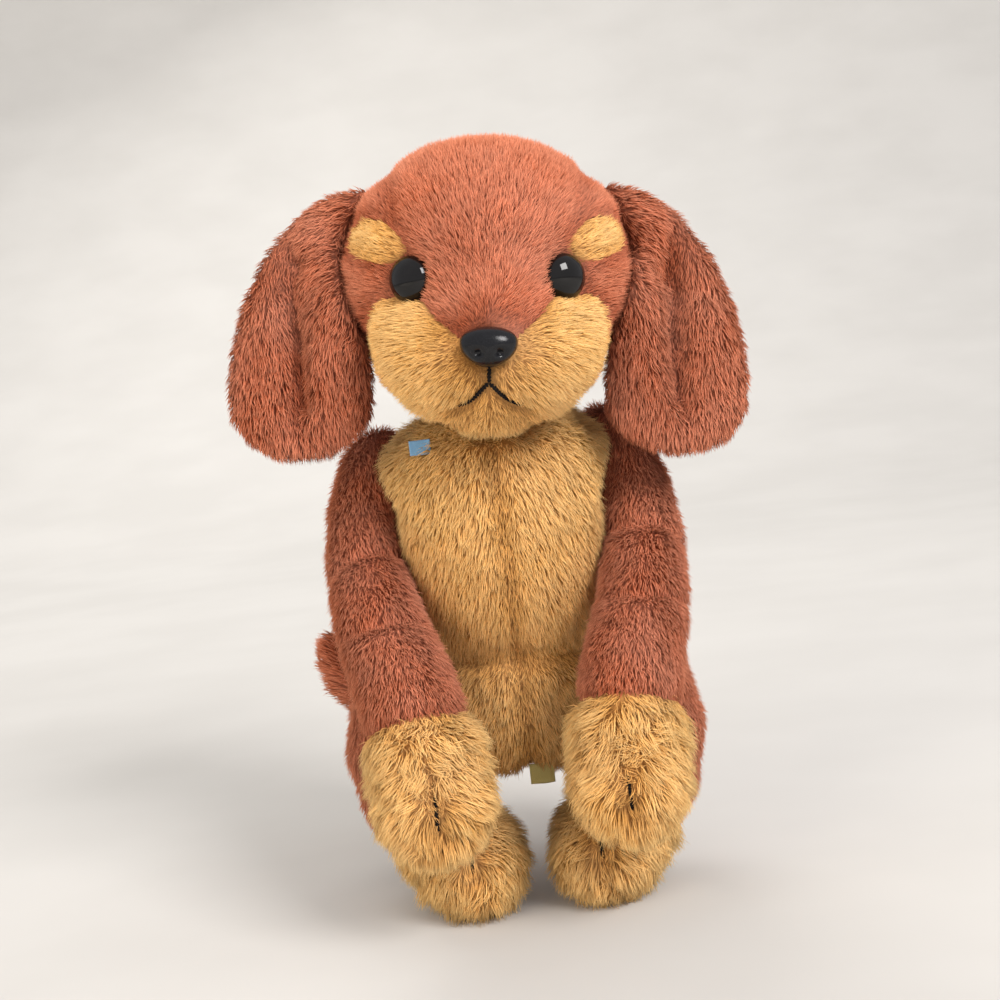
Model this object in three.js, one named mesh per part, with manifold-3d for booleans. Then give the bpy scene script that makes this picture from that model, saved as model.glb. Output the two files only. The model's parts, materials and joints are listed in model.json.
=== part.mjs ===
// A sewn plush puppy held upright: fabric panels, fillings, safety eyes, a nose and embroidered threads.
// Millimetres, +Z up. The puppy faces -Y and its own left side is +X.
// It is drawn from the skull's middle plane and the floor, and at the end the whole puppy is moved so
// that the origin is under the middle of its bounding box.
import * as THREE from "three";
import { mergeVertices } from "three/addons/utils/BufferGeometryUtils.js";
import Module from "manifold-3d";

const { Vector2, Vector3 } = THREE;
const wasm = await Module();
wasm.setup();

// ---------- Driving dimensions ----------

const GAP = 0.3; // clearance between pieces that touch
const PILE = 5; // a fabric panel with its pile, lightly pressed
const FAR = 500; // reach of a cutter that passes right through
const SIDES = { left: 1, right: -1 };
const UP = new Vector3(0, 0, 1);

// Facets around and along the rounded shapes: skins that show, linings and fillings inside
const BIG_SKIN = { around: 22, along: 14 };
const BIG_INSIDE = { around: 12, along: 8 };
const LIMB_SKIN = { around: 12, along: 10 };
const LIMB_INSIDE = { around: 8, along: 7 };
const EAR_SKIN = { around: 20, along: 12 };
const SMALL_BALL = [14, 8];
const TURNED_SEGMENTS = 12;
const DOME_STEPS = 5;
const OUTLINE_STEPS = 22;
const BROW_STEPS = 14;
const STRIP_STEPS = 8;

// The head is cocked on the neck, so that its crown leans to the puppy's left
const HEAD_TILT = THREE.MathUtils.degToRad(5.5);

// Head: a skull with softly blended lobes, all given from the skull's centre
const HEAD_CENTRE = new Vector3(0, -28, 299);
const LOBE_BLEND = 3;
const HEAD_LOBES = [
  { offset: [0, 0, 0], half: [69, 62, 62] }, // skull
  { offset: [0, -44, -40], half: [43, 38, 32] }, // muzzle
  { offset: [28, -37, -36], half: [27, 27, 26] }, // left cheek
  { offset: [-28, -37, -36], half: [27, 27, 26] }, // right cheek
  { offset: [0, -60, -29], half: [20, 24, 17] }, // snout behind the nose
  { offset: [0, -47, -55], half: [29, 26, 21] }, // chin
];

// Panel outlines on the head, seen from the front, for the left side where a panel has two sides
const GUSSET_EDGE = [[12, 226], [16, 250], [18, 266], [24, 280], [31, 297], [39, 318], [44, 338], [47, 372]];
const CHEEK = [
  [-1, 256],
  [11, 266],
  [22, 276],
  [31, 284],
  [42, 286],
  [50, 281],
  [51, 264],
  [43, 246],
  [29, 231],
  [14, 224],
  [-1, 222],
];
const BROW = [[35, 306], [41, 316], [50, 321], [59, 318], [61, 309], [53, 303], [43, 301]];
const CHIN = [[-26, 214], [-24, 229], [-13, 235], [0, 239], [13, 235], [24, 229], [26, 214]];
const FACE_BACK = -44; // the face panels end at this depth
const CHIN_BACK = -52;

// Mouth: a stitched line down from the nose that forks out to both sides
const MOUTH_BACK = -60;
const MOUTH_TOP = 256;
const MOUTH_FORK = 250;
const SMILE = [[0, 250], [3.5, 245], [8.5, 240.5], [15, 238.5]];

// Eyes: domes on shanks, seen from the skull's centre in this direction
const EYE_DIRECTION = new Vector3(0.585, -0.84, -0.09).normalize();
const EYE_TURN = 0.57; // how far each eye faces outwards, in radians
const EYE = { radius: 10.5, dome: 7, sunk: 2.5, shank: 2.2, shankLength: 14 };
const EYE_HOLLOW = { depth: 2.5, spread: 0.2 };
const SEAT_REACH = 50; // clears all the fabric in front of an eye

// Nose: a moulded oval on a shank, just above the mouth
const NOSE = { half: [12, 8, 8.5], sunk: 3, shank: 2.4, shankLength: 20, shankOverlap: 2 };
const NOSE_DIRECTION = new Vector3(0, -0.915, -0.4).normalize();
const WASHER = { radius: 7, thickness: 1.4, hole: 2.9, behind: 2.8 };

// Body: half sizes of its sections from the seat to the neck
const SEAT_HEIGHT = 57;
const TORSO_STATIONS = [
  { at: [0, 3, 46], half: [44, 40] },
  { at: [0, 1, 88], half: [51, 47] },
  { at: [0, -1, 117], half: [44, 38] }, // waist
  { at: [0, -3, 148], half: [53, 49] },
  { at: [0, -5, 185], half: [60, 54] }, // chest
  { at: [0, -4, 214], half: [60, 50] },
  { at: [0, -2, 238], half: [53, 40] },
];
const TORSO_CAP = 30; // how round the torso is at its two ends

// The edge between the tan underside and the brown side panels, seen from the front
const UNDERSIDE_EDGE = [[54, 246], [57, 215], [55, 180], [49, 155], [43, 119], [43, 88], [34, 66], [20, 44]];
const UNDERSIDE_BACK = 6;

// Two blank ribbons sewn to the torso
const LABEL = { width: 12, thickness: 1, height: 13, at: [6, -33.5, 57.5] };
const NECK_TAG = { width: 10, thickness: 1, height: 7, at: [-34, -42, 221] };

// Neck: a filled ball that both the head and the body turn on
const NECK = { centre: new Vector3(0, -10, 231), radius: 24, room: 1 };
const NECK_COVER_HEIGHT = 7; // half the height of the fabric band round the neck filling

// Foreleg: shoulder ball, sleeve and paw
const SHOULDER = new Vector3(64, 1, 197);
const FORELEG_STATIONS = [
  { at: [49, 8, 229], half: [18, 20] },
  { at: [64, 1, 197], half: [19, 21] },
  { at: [67, -27, 160], half: [20, 21] },
  { at: [59, -59, 130], half: [22, 23] },
  { at: [48, -79, 102], half: [24, 25] },
  { at: [44, -92, 73], half: [25.5, 27] },
  { at: [43, -98, 41], half: [24.5, 26] },
];
const WRIST = { at: new Vector3(48, -80, 99), normal: new Vector3(-0.14, -0.42, -0.9).normalize() };
const FOREPAW_TOES = [[42.5, 76], [42, 68], [41, 60]];
const SHOULDER_SWING = [-2, 40];

// The body leaves room for its legs wherever they move
const SWEEP_ROOM = 1.2;
const SWEEP_STEPS = 4;

// Hind leg: hip ball, haunch and foot
const HIP = new Vector3(59, -1, 92);
const HIND_STATIONS = [
  { at: [56, 5, 117], half: [25, 25] },
  { at: [59, -1, 92], half: [26, 26] },
  { at: [66, -8, 64], half: [25, 26] },
  { at: [58, -22, 41], half: [23, 24] },
  { at: [39, -40, 26], half: [25, 25] },
  { at: [31, -56, 23], half: [26, 26] },
  { at: [29, -78, 22], half: [25, 25] },
];
const ANKLE = { at: new Vector3(52, -27, 37), normal: new Vector3(-0.62, -0.66, -0.42).normalize() };
const HIND_TOES = [[30, 36], [30, 30], [30, 24]];
const HIND_TOE_BACK = -56;
const HIP_SPLAY = [0, 35];

// Ear: a folded flap from the crown down beside the cheek
const EAR_STATIONS = [
  { at: [44, -26, 323], half: [20, 7] },
  { at: [58, -29, 320], half: [22, 8] },
  { at: [74, -35, 307], half: [25, 8.5] },
  { at: [85, -40, 285], half: [29, 9] },
  { at: [87, -44, 259], half: [34, 9] },
  { at: [87, -47, 235], half: [34, 8.5] },
  { at: [86, -50, 213.5], half: [28, 7.5] },
];
// The half nearer the head stands in front of the other half, with a valley between them
const EAR_FOLD = { depth: 5, at: 2, spread: 6.5, step: 4, stepWidth: 4, fadeFrom: 0.9 };
const EAR_OVERRUN = 1.5; // how far the cutter that halves an ear runs past each end, in station steps
const EAR_OVERREACH = { width: 4, depth: 4 }; // how much wider, and how many times deeper, it is

// Tail: curls out to the puppy's right and up
const TAIL_STATIONS = [
  { at: [0, 33, 90], half: [15, 15] },
  { at: [-24, 56, 79], half: [15, 15] },
  { at: [-58, 64, 72], half: [14, 14] },
  { at: [-84, 62, 80], half: [13, 13] },
  { at: [-97, 58, 100], half: [11, 11] },
  { at: [-100, 56, 120], half: [9, 9] },
];

const THREAD = { width: 2, sunk: 2.2, proud: 0.8 };

// ---------- Materials ----------

const cloth = (colour) => new THREE.MeshStandardMaterial({ color: colour, roughness: 0.95, metalness: 0 });
const rustPlush = () => cloth(0xa65a3c);
const tanPlush = () => cloth(0xd79f5c);
const filling = () => cloth(0xf1eee6);
const blackGloss = () => new THREE.MeshStandardMaterial({ color: 0x0b0b0d, roughness: 0.08, metalness: 0 });
const blackSatin = () => new THREE.MeshStandardMaterial({ color: 0x1c1b1e, roughness: 0.45, metalness: 0 });
const clearPlastic = () => new THREE.MeshStandardMaterial({ color: 0xe6e6e2, roughness: 0.4, metalness: 0 });
const blackThread = () => cloth(0x14100f);
const blueRibbon = () => cloth(0x7fb2d6);
const whiteRibbon = () => cloth(0xe9e4cf);

// ---------- Solids ----------

// A closed geometry as a solid that can be joined and cut, with its faces turned outwards.
function solidOf(geometry) {
  const bare = geometry.clone();
  bare.deleteAttribute("normal");
  bare.deleteAttribute("uv");
  const merged = mergeVertices(bare, 1e-3);
  const vertProperties = new Float32Array(merged.attributes.position.array);
  const corners = Array.from(merged.index.array);
  const triVerts = [];
  for (let i = 0; i < corners.length; i += 3) {
    const [a, b, c] = corners.slice(i, i + 3);
    if (a !== b && b !== c && c !== a) triVerts.push(a, b, c);
  }
  const build = (order) =>
    new wasm.Manifold(new wasm.Mesh({ numProp: 3, vertProperties, triVerts: new Uint32Array(order) }));
  const solid = build(triVerts);
  return solid.volume() > 0 ? solid : build(triVerts.reverse());
}

// A solid as a geometry that can be drawn.
function geometryOf(solid) {
  const mesh = solid.getMesh();
  const geometry = new THREE.BufferGeometry();
  geometry.setAttribute("position", new THREE.BufferAttribute(mesh.vertProperties, 3));
  geometry.setIndex(new THREE.BufferAttribute(mesh.triVerts, 1));
  const flat = geometry.toNonIndexed();
  flat.computeVertexNormals();
  return flat;
}

const join = (solids) => solids.reduce((whole, solid) => whole.add(solid));
const cut = (solid, ...tools) => tools.reduce((rest, tool) => rest.subtract(tool), solid);

// The biggest separate body of a solid, which drops slivers that a cut leaves behind.
const mainBody = (solid) => solid.decompose().reduce((a, b) => (b.volume() > a.volume() ? b : a));

// A ball whose surface is put in place point by point: u runs around it and v from end to end.
function shapedBall(around, along, place) {
  const geometry = new THREE.SphereGeometry(1, around, along);
  const { position, uv } = geometry.attributes;
  for (let i = 0; i < position.count; i++) {
    const point = place(uv.getX(i), uv.getY(i));
    position.setXYZ(i, point.x, point.y, point.z);
  }
  return solidOf(geometry);
}

// Directions for a tube's width: across the body, or square to the path in a plane that faces the front.
const acrossBody = ({ x, y, z }) => new Vector3(1 - x * x, -x * y, -x * z).normalize();
const acrossFlap = (forward) => new Vector3(0, 1, 0).cross(forward).normalize();

// A rounded tube through stations, each with its centre and its half width and half depth.
// widthAt gives the direction of its width from the direction of its path, fold(t, offset) moves the
// surface along the depth, front scales the half of the depth that lies before the path, and roundness
// is the radius of its ends, which otherwise comes from the sizes there.
function softTube(stations, { around, along }, options = {}) {
  const { inset = 0, widthAt = acrossBody, fold = () => 0, front = 1, roundness = 0 } = options;
  const centres = new THREE.CatmullRomCurve3(stations.map(({ at }) => new Vector3(...at)));
  const halves = stations.map(({ half }) => new Vector3(...half, 0));
  const sizes = new THREE.CatmullRomCurve3(halves, false, "catmullrom");
  const length = centres.getLength();
  return shapedBall(around, along, (u, v) => {
    const fromEnd = (length - 2 * inset) * ((1 - Math.cos(Math.PI * v)) / 2);
    const reach = inset + fromEnd;
    const onPath = THREE.MathUtils.clamp(reach, 0, length);
    const t = centres.getUtoTmapping(onPath / length);
    const forward = centres.getTangent(t);
    const wide = widthAt(forward);
    const deep = forward.clone().cross(wide);
    const half = sizes.getPoint(t).subScalar(inset);
    const cap = roundness || (half.x + half.y) / 2;
    const nearest = Math.min(fromEnd, length - 2 * inset - fromEnd, cap);
    const rounding = Math.sqrt(Math.max(0, 1 - (1 - nearest / cap) ** 2));
    const across = Math.cos(2 * Math.PI * u) * rounding * half.x;
    const level = Math.sin(2 * Math.PI * u);
    const thickness = level * rounding * half.y * (level < 0 ? front : 1);
    return centres
      .getPoint(t)
      .addScaledVector(forward, reach - onPath)
      .addScaledVector(wide, across)
      .addScaledVector(deep, thickness + fold(t, across));
  });
}

const ball = (centre, radius) =>
  solidOf(new THREE.SphereGeometry(radius, ...SMALL_BALL).translate(...centre.toArray()));

// Everything on one side of a plane that goes through a point, on the side its normal points to.
function beyond(point, normal) {
  const block = new THREE.BoxGeometry(2 * FAR, 2 * FAR, FAR).translate(0, 0, FAR / 2);
  const turn = new THREE.Quaternion().setFromUnitVectors(UP, normal);
  return solidOf(block.applyQuaternion(turn).translate(...point.toArray()));
}

// A prism along Y from an outline drawn in X and Z.
function prismY(outline, fromY, toY) {
  const shape = new THREE.Shape(outline);
  const geometry = new THREE.ExtrudeGeometry(shape, { depth: toY - fromY, bevelEnabled: false });
  return solidOf(geometry.rotateX(Math.PI / 2).translate(0, toY, 0));
}

// A smooth closed outline through a few points.
function smoothOutline(points, steps = OUTLINE_STEPS) {
  const loop = points.map(([x, z]) => new Vector3(x, z, 0));
  const curve = new THREE.CatmullRomCurve3(loop, true);
  return curve.getPoints(steps).slice(0, -1).map(({ x, y }) => new Vector2(x, y));
}

// The same outline moved outwards by a distance.
function grownOutline(outline, distance) {
  const turn = THREE.ShapeUtils.isClockWise(outline) ? -1 : 1;
  return outline.map((point, i) => {
    const before = outline[(i + outline.length - 1) % outline.length];
    const after = outline[(i + 1) % outline.length];
    const along = after.clone().sub(before).normalize();
    return point.clone().add(new Vector2(along.y, -along.x).multiplyScalar(turn * distance));
  });
}

// A strip of even width along a line of points in X and Z.
function stripOutline(points, width) {
  const line = new THREE.CatmullRomCurve3(points.map(([x, z]) => new Vector3(x, z, 0)));
  const rim = (side) =>
    Array.from({ length: STRIP_STEPS + 1 }, (_, i) => {
      const { x, y } = line.getPoint(i / STRIP_STEPS);
      const along = line.getTangent(i / STRIP_STEPS);
      return new Vector2(x - (side * along.y * width) / 2, y + (side * along.x * width) / 2);
    });
  return [...rim(1), ...rim(-1).reverse()];
}

const mirrored = (points, side) => points.map(([x, ...rest]) => [side * x, ...rest]);
const outlineOf = (points) => points.map(([x, z]) => new Vector2(x, z));
const bothSides = (edge) => outlineOf([...edge, ...mirrored(edge, -1).reverse()]);
const onSide = (stations, side) => stations.map(({ at, half }) => ({ at: mirrored([at], side)[0], half }));
const sideVector = (vector, side) => new Vector3(side * vector.x, vector.y, vector.z);

// ---------- The piece list ----------

const puppy = new THREE.Group();

function addPiece(name, solid, material) {
  const mesh = new THREE.Mesh(geometryOf(solid), material);
  mesh.name = name;
  puppy.add(mesh);
}

// A piece of the head or an ear, drawn upright and then cocked with the head.
function addHeadPiece(name, solid, material) {
  const { x, y, z } = NECK.centre;
  addPiece(name, solid, material);
  puppy.children.at(-1).geometry.translate(-x, -y, -z).rotateY(HEAD_TILT).translate(x, y, z);
}

// ---------- Head ----------

// How far a ray from the skull's centre travels before it leaves a lobe, or 0 if it misses.
function lobeReach(direction, { offset, half }, inset) {
  let [a, b, c] = [0, 0, -1];
  direction.toArray().forEach((d, axis) => {
    const size = half[axis] - inset;
    a += (d / size) ** 2;
    b += (d * offset[axis]) / size ** 2;
    c += (offset[axis] / size) ** 2;
  });
  const root = b * b - a * c;
  return root < 0 ? 0 : (b + Math.sqrt(root)) / a;
}

// The head's radius in a direction: a soft maximum of its lobes, with a shallow hollow at each eye.
function headRadius(direction, inset) {
  const reaches = HEAD_LOBES.map((lobe) => lobeReach(direction, lobe, inset));
  const most = Math.max(...reaches);
  const total = reaches.reduce((sum, reach) => sum + Math.exp((reach - most) / LOBE_BLEND), 0);
  const hollows = Object.values(SIDES).reduce((sum, side) => {
    const away = direction.angleTo(sideVector(EYE_DIRECTION, side)) / EYE_HOLLOW.spread;
    return sum + EYE_HOLLOW.depth * Math.exp(-(away ** 2));
  }, 0);
  return most + LOBE_BLEND * Math.log(total) - hollows;
}

function headSkin(inset, { around, along } = BIG_SKIN) {
  return shapedBall(around, along, (u, v) => {
    const direction = new Vector3().setFromSphericalCoords(1, Math.PI * (1 - v), 2 * Math.PI * u);
    const upright = new Vector3(direction.x, direction.z, direction.y);
    return upright.multiplyScalar(headRadius(upright, inset)).add(HEAD_CENTRE);
  });
}

const onHead = (direction, depth) =>
  direction.clone().multiplyScalar(headRadius(direction, 0) - depth).add(HEAD_CENTRE);

// A turned piece whose axis starts at a point and runs outwards along a direction.
function turned(profile, point, outwards) {
  const lathe = new THREE.LatheGeometry(profile.map(([r, h]) => new Vector2(r, h)), TURNED_SEGMENTS);
  const turn = new THREE.Quaternion().setFromUnitVectors(new Vector3(0, 1, 0), outwards);
  return solidOf(lathe.applyQuaternion(turn).translate(...point.toArray()));
}

const rod = (radius, from, to, point, outwards) =>
  turned([[0, from], [radius, from], [radius, to], [0, to]], point, outwards);

const washer = (from, point, outwards) =>
  turned(
    [
      [WASHER.hole, from],
      [WASHER.radius, from],
      [WASHER.radius, from + WASHER.thickness],
      [WASHER.hole, from + WASHER.thickness],
      [WASHER.hole, from],
    ],
    point,
    outwards,
  );

// The depth of the washer's outer face below the seat of an eye or a nose.
const washerTop = (sunk) => -(PILE - sunk) - WASHER.behind;

// The room an eye or a nose needs: its seat in the pile, its shank and its washer.
function fixtureRoom(radius, fixture, point, outwards) {
  const top = washerTop(fixture.sunk);
  return {
    seat: rod(radius + GAP, 0, SEAT_REACH, point, outwards),
    shank: rod(fixture.shank + GAP, -fixture.shankLength - GAP, 1, point, outwards),
    washer: rod(WASHER.radius + GAP, top - WASHER.thickness - GAP, top + 2 * GAP, point, outwards),
  };
}

function eyeParts(side) {
  const point = onHead(sideVector(EYE_DIRECTION, side), EYE.sunk);
  const outwards = new Vector3(side * Math.sin(EYE_TURN), -Math.cos(EYE_TURN), 0);
  const dome = Array.from({ length: DOME_STEPS + 1 }, (_, i) => {
    const angle = (Math.PI / 2) * (i / DOME_STEPS);
    return [EYE.radius * Math.cos(angle), EYE.dome * Math.sin(angle)];
  });
  const tip = dome.pop();
  const shank = [[0, -EYE.shankLength], [EYE.shank, -EYE.shankLength], [EYE.shank, 0]];
  const profile = [...shank, ...dome, [0, tip[1]]];
  return {
    eye: turned(profile, point, outwards),
    washer: washer(washerTop(EYE.sunk) - WASHER.thickness, point, outwards),
    room: fixtureRoom(EYE.radius, EYE, point, outwards),
  };
}

function noseParts() {
  const point = onHead(NOSE_DIRECTION, NOSE.sunk);
  const outwards = new Vector3(0, -1, 0);
  const oval = new THREE.SphereGeometry(1, ...SMALL_BALL).scale(...NOSE.half).translate(...point.toArray());
  const roomy = new THREE.SphereGeometry(1, ...SMALL_BALL)
    .scale(...NOSE.half.map((size) => size + GAP))
    .translate(...point.toArray());
  const behind = point.clone().addScaledVector(outwards, NOSE.shankOverlap - NOSE.half[1]);
  const top = -PILE - WASHER.behind;
  return {
    nose: join([solidOf(oval), rod(NOSE.shank, -NOSE.shankLength, 0, behind, outwards)]),
    washer: washer(top - WASHER.thickness, behind, outwards),
    room: join([
      solidOf(roomy),
      rod(NOSE.shank + GAP, -NOSE.shankLength - GAP, 0, behind, outwards),
      rod(WASHER.radius + GAP, top - WASHER.thickness - GAP, top + GAP, behind, outwards),
    ]),
  };
}

function mouthCutter(width, reach) {
  const strips = [stripOutline([[0, MOUTH_TOP], [0, (MOUTH_TOP + MOUTH_FORK) / 2], [0, MOUTH_FORK]], width)];
  for (const side of Object.values(SIDES)) strips.push(stripOutline(mirrored(SMILE, side), width));
  return join(strips.map((strip) => prismY(strip, -reach, MOUTH_BACK)));
}

function buildHead() {
  const outer = headSkin(0);
  const lining = headSkin(PILE, BIG_INSIDE);
  const neckRoom = ball(NECK.centre, NECK.radius + NECK.room);
  const eyes = { left: eyeParts(1), right: eyeParts(-1) };
  const nose = noseParts();

  const threadBand = cut(headSkin(-THREAD.proud), headSkin(THREAD.sunk));
  const mouth = cut(threadBand.intersect(mouthCutter(THREAD.width, FAR)), nose.room);
  const mouthRoom = mouthCutter(THREAD.width + 2 * GAP, FAR).intersect(
    cut(headSkin(-2 * THREAD.proud), headSkin(THREAD.sunk + GAP)),
  );

  const rooms = [neckRoom, nose.room, mouthRoom];
  for (const { room } of Object.values(eyes)) rooms.push(room.seat, room.shank);
  const shell = cut(outer, lining, ...rooms);

  const chinOutline = outlineOf(CHIN);
  const chin = prismY(chinOutline, -FAR, CHIN_BACK);
  const chinRoom = prismY(grownOutline(chinOutline, GAP), -FAR, CHIN_BACK + GAP);
  const gussetOutline = bothSides(GUSSET_EDGE);
  const gusset = prismY(gussetOutline, -FAR, FAR);
  const gussetRoom = prismY(grownOutline(gussetOutline, GAP), -FAR, FAR);

  const taken = [chinRoom];
  addHeadPiece("chin", mainBody(shell.intersect(chin)), tanPlush());
  for (const [name, side] of Object.entries(SIDES)) {
    const half = beyond(new Vector3((side * GAP) / 2, 0, 0), new Vector3(side, 0, 0));
    const cheekOutline = smoothOutline(mirrored(CHEEK, side));
    const cheek = prismY(cheekOutline, -FAR, FACE_BACK).intersect(half);
    addHeadPiece(`${name}_cheek`, mainBody(cut(shell.intersect(cheek), chinRoom)), tanPlush());
    taken.push(prismY(grownOutline(cheekOutline, GAP), -FAR, FACE_BACK + GAP));
    const browOutline = smoothOutline(mirrored(BROW, side), BROW_STEPS);
    const brow = shell.intersect(prismY(browOutline, -FAR, HEAD_CENTRE.y));
    addHeadPiece(`${name}_brow_patch`, mainBody(brow), tanPlush());
    taken.push(prismY(grownOutline(browOutline, GAP), -FAR, HEAD_CENTRE.y));
  }
  addHeadPiece("forehead_gusset", mainBody(cut(shell.intersect(gusset), ...taken)), rustPlush());
  for (const [name, side] of Object.entries(SIDES)) {
    const half = beyond(new Vector3((side * GAP) / 2, 0, 0), new Vector3(side, 0, 0));
    const headSide = cut(shell.intersect(half), gussetRoom, ...taken);
    addHeadPiece(`${name}_head_side`, mainBody(headSide), rustPlush());
    addHeadPiece(`${name}_eye`, eyes[name].eye, blackGloss());
    addHeadPiece(`${name}_eye_washer`, eyes[name].washer, clearPlastic());
  }
  addHeadPiece("nose", nose.nose, blackSatin());
  addHeadPiece("nose_washer", nose.washer, clearPlastic());
  addHeadPiece("mouth_thread", mainBody(mouth), blackThread());

  const pockets = [neckRoom, nose.room];
  for (const { room } of Object.values(eyes)) pockets.push(room.seat, room.shank, room.washer);
  addHeadPiece("head_stuffing", cut(headSkin(PILE + GAP, BIG_INSIDE), ...pockets), filling());
}

// ---------- Ears ----------

// The fold that runs down the ear from its gathered root and fades before the tip. The offset grows
// towards the head.
function earFold(t, offset) {
  const { depth, at, spread, step, stepWidth, fadeFrom } = EAR_FOLD;
  const fade = Math.sin(Math.PI * Math.min(1, t / fadeFrom));
  const valley = depth * Math.exp(-(((offset - at) / spread) ** 2));
  return fade * (valley - step * Math.tanh((offset - at) / stepWidth));
}

function buildEar(name, side) {
  const stations = onSide(EAR_STATIONS, side);
  const fold = (t, offset) => earFold(t, side * offset);
  const flap = cut(softTube(stations, EAR_SKIN, { widthAt: acrossFlap, fold }), headSkin(-GAP));
  const behind = behindEar(stations, fold);
  addHeadPiece(`${name}_ear_outer`, mainBody(cut(flap, behind(-GAP / 2))), rustPlush());
  addHeadPiece(`${name}_ear_lining`, mainBody(flap.intersect(behind(GAP / 2))), rustPlush());
}

// The space behind the folded middle of an ear, moved back by a shift. It is wider and longer than the ear.
function behindEar(stations, fold) {
  const beyondEnd = (end, next) => end.map((value, axis) => value + (value - next[axis]) * EAR_OVERRUN);
  const { width, depth } = EAR_OVERREACH;
  const wider = stations.map(({ at, half }) => ({ at, half: [half[0] + width, depth * half[1]] }));
  const first = { at: beyondEnd(stations[0].at, stations[1].at), half: wider[0].half };
  const last = { at: beyondEnd(stations.at(-1).at, stations.at(-2).at), half: wider.at(-1).half };
  const longer = [first, ...wider, last];
  const spans = longer.length - 1;
  const onEar = (t) => THREE.MathUtils.clamp((t * spans - 1) / (spans - 2), 0, 1);
  return (shift) =>
    softTube(
      longer.map(({ at: [x, y, z], half }) => ({ at: [x, y + shift, z], half })),
      EAR_SKIN,
      { widthAt: acrossFlap, fold: (t, offset) => fold(onEar(t), offset), front: 0 },
    );
}

// ---------- Legs and tail ----------

function legParts(stations, side, cuff) {
  const path = onSide(stations, side);
  const floor = beyond(new Vector3(0, 0, 0), UP);
  const shell = cut(softTube(path, LIMB_SKIN), softTube(path, LIMB_INSIDE, { inset: PILE })).intersect(floor);
  const at = sideVector(cuff.at, side);
  const normal = sideVector(cuff.normal, side);
  const lower = beyond(at, normal);
  const lowerRoom = beyond(at.clone().addScaledVector(normal, -GAP), normal);
  return { upper: cut(shell, lowerRoom), lower: shell.intersect(lower), path };
}

// A stitched line between the toes, set into the pile on the front of a paw.
function toeStitch(path, outline, cutFloor) {
  const skin = (inset) => softTube(path, LIMB_SKIN, { inset });
  const band = cut(skin(-THREAD.proud), skin(THREAD.sunk));
  const roomBand = cut(skin(-2 * THREAD.proud), skin(THREAD.sunk + GAP));
  const wider = grownOutline(outline, GAP);
  return {
    thread: mainBody(band.intersect(prismY(outline, -FAR, cutFloor))),
    room: roomBand.intersect(prismY(wider, -FAR, cutFloor + GAP)),
  };
}

function buildForeleg(name, side) {
  const { upper, lower, path } = legParts(FORELEG_STATIONS, side, WRIST);
  const line = mirrored(FOREPAW_TOES, side);
  const stitch = toeStitch(path, stripOutline(line, THREAD.width), WRIST.at.y);
  addPiece(`${name}_foreleg_sleeve`, mainBody(upper), rustPlush());
  addPiece(`${name}_forepaw`, mainBody(cut(lower, stitch.room)), tanPlush());
  addPiece(`${name}_foreleg_stuffing`, softTube(path, LIMB_INSIDE, { inset: PILE + GAP }), filling());
  addPiece(`${name}_forepaw_toe_stitch`, stitch.thread, blackThread());
}

function buildHindLeg(name, side) {
  const { upper, lower, path } = legParts(HIND_STATIONS, side, ANKLE);
  const line = mirrored(HIND_TOES, side);
  const stitch = toeStitch(path, stripOutline(line, THREAD.width), HIND_TOE_BACK);
  addPiece(`${name}_thigh`, mainBody(upper), rustPlush());
  addPiece(`${name}_hind_foot`, mainBody(cut(lower, stitch.room)), tanPlush());
  addPiece(`${name}_hind_leg_stuffing`, softTube(path, LIMB_INSIDE, { inset: PILE + GAP }), filling());
  addPiece(`${name}_hind_toe_stitch`, stitch.thread, blackThread());
}

function buildTail() {
  const torsoRoom = torso(BIG_SKIN, -GAP);
  const outer = softTube(TAIL_STATIONS, LIMB_SKIN, { widthAt: acrossFlap });
  const core = softTube(TAIL_STATIONS, LIMB_INSIDE, { widthAt: acrossFlap, inset: PILE });
  addPiece("tail_cover", mainBody(cut(outer, core, torsoRoom)), rustPlush());
  const filled = softTube(TAIL_STATIONS, LIMB_INSIDE, { widthAt: acrossFlap, inset: PILE + GAP });
  addPiece("tail_stuffing", mainBody(cut(filled, torsoRoom)), filling());
}

// ---------- Body ----------

function torso(facets, inset) {
  return softTube(TORSO_STATIONS, facets, { inset, roundness: TORSO_CAP });
}

// The space a leg sweeps near the body as its joint moves through its range.
function sweptRoom(stations, side, pivot, axis, range) {
  const path = onSide(stations, side);
  const centre = sideVector(pivot, side);
  const room = [];
  for (let i = 0; i <= SWEEP_STEPS; i++) {
    const angle = THREE.MathUtils.degToRad(range[0] + ((range[1] - range[0]) * i) / SWEEP_STEPS);
    const turn = new THREE.Quaternion().setFromAxisAngle(axis, angle);
    const moved = path.map(({ at, half }) => {
      const point = new Vector3(...at).sub(centre).applyQuaternion(turn).add(centre);
      return { at: point.toArray(), half };
    });
    room.push(softTube(moved, LIMB_SKIN, { inset: -SWEEP_ROOM }));
  }
  return join(room);
}

const swingAxis = new Vector3(-1, 0, 0);
const splayAxis = (side) => new Vector3(0, 0, side);

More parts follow.
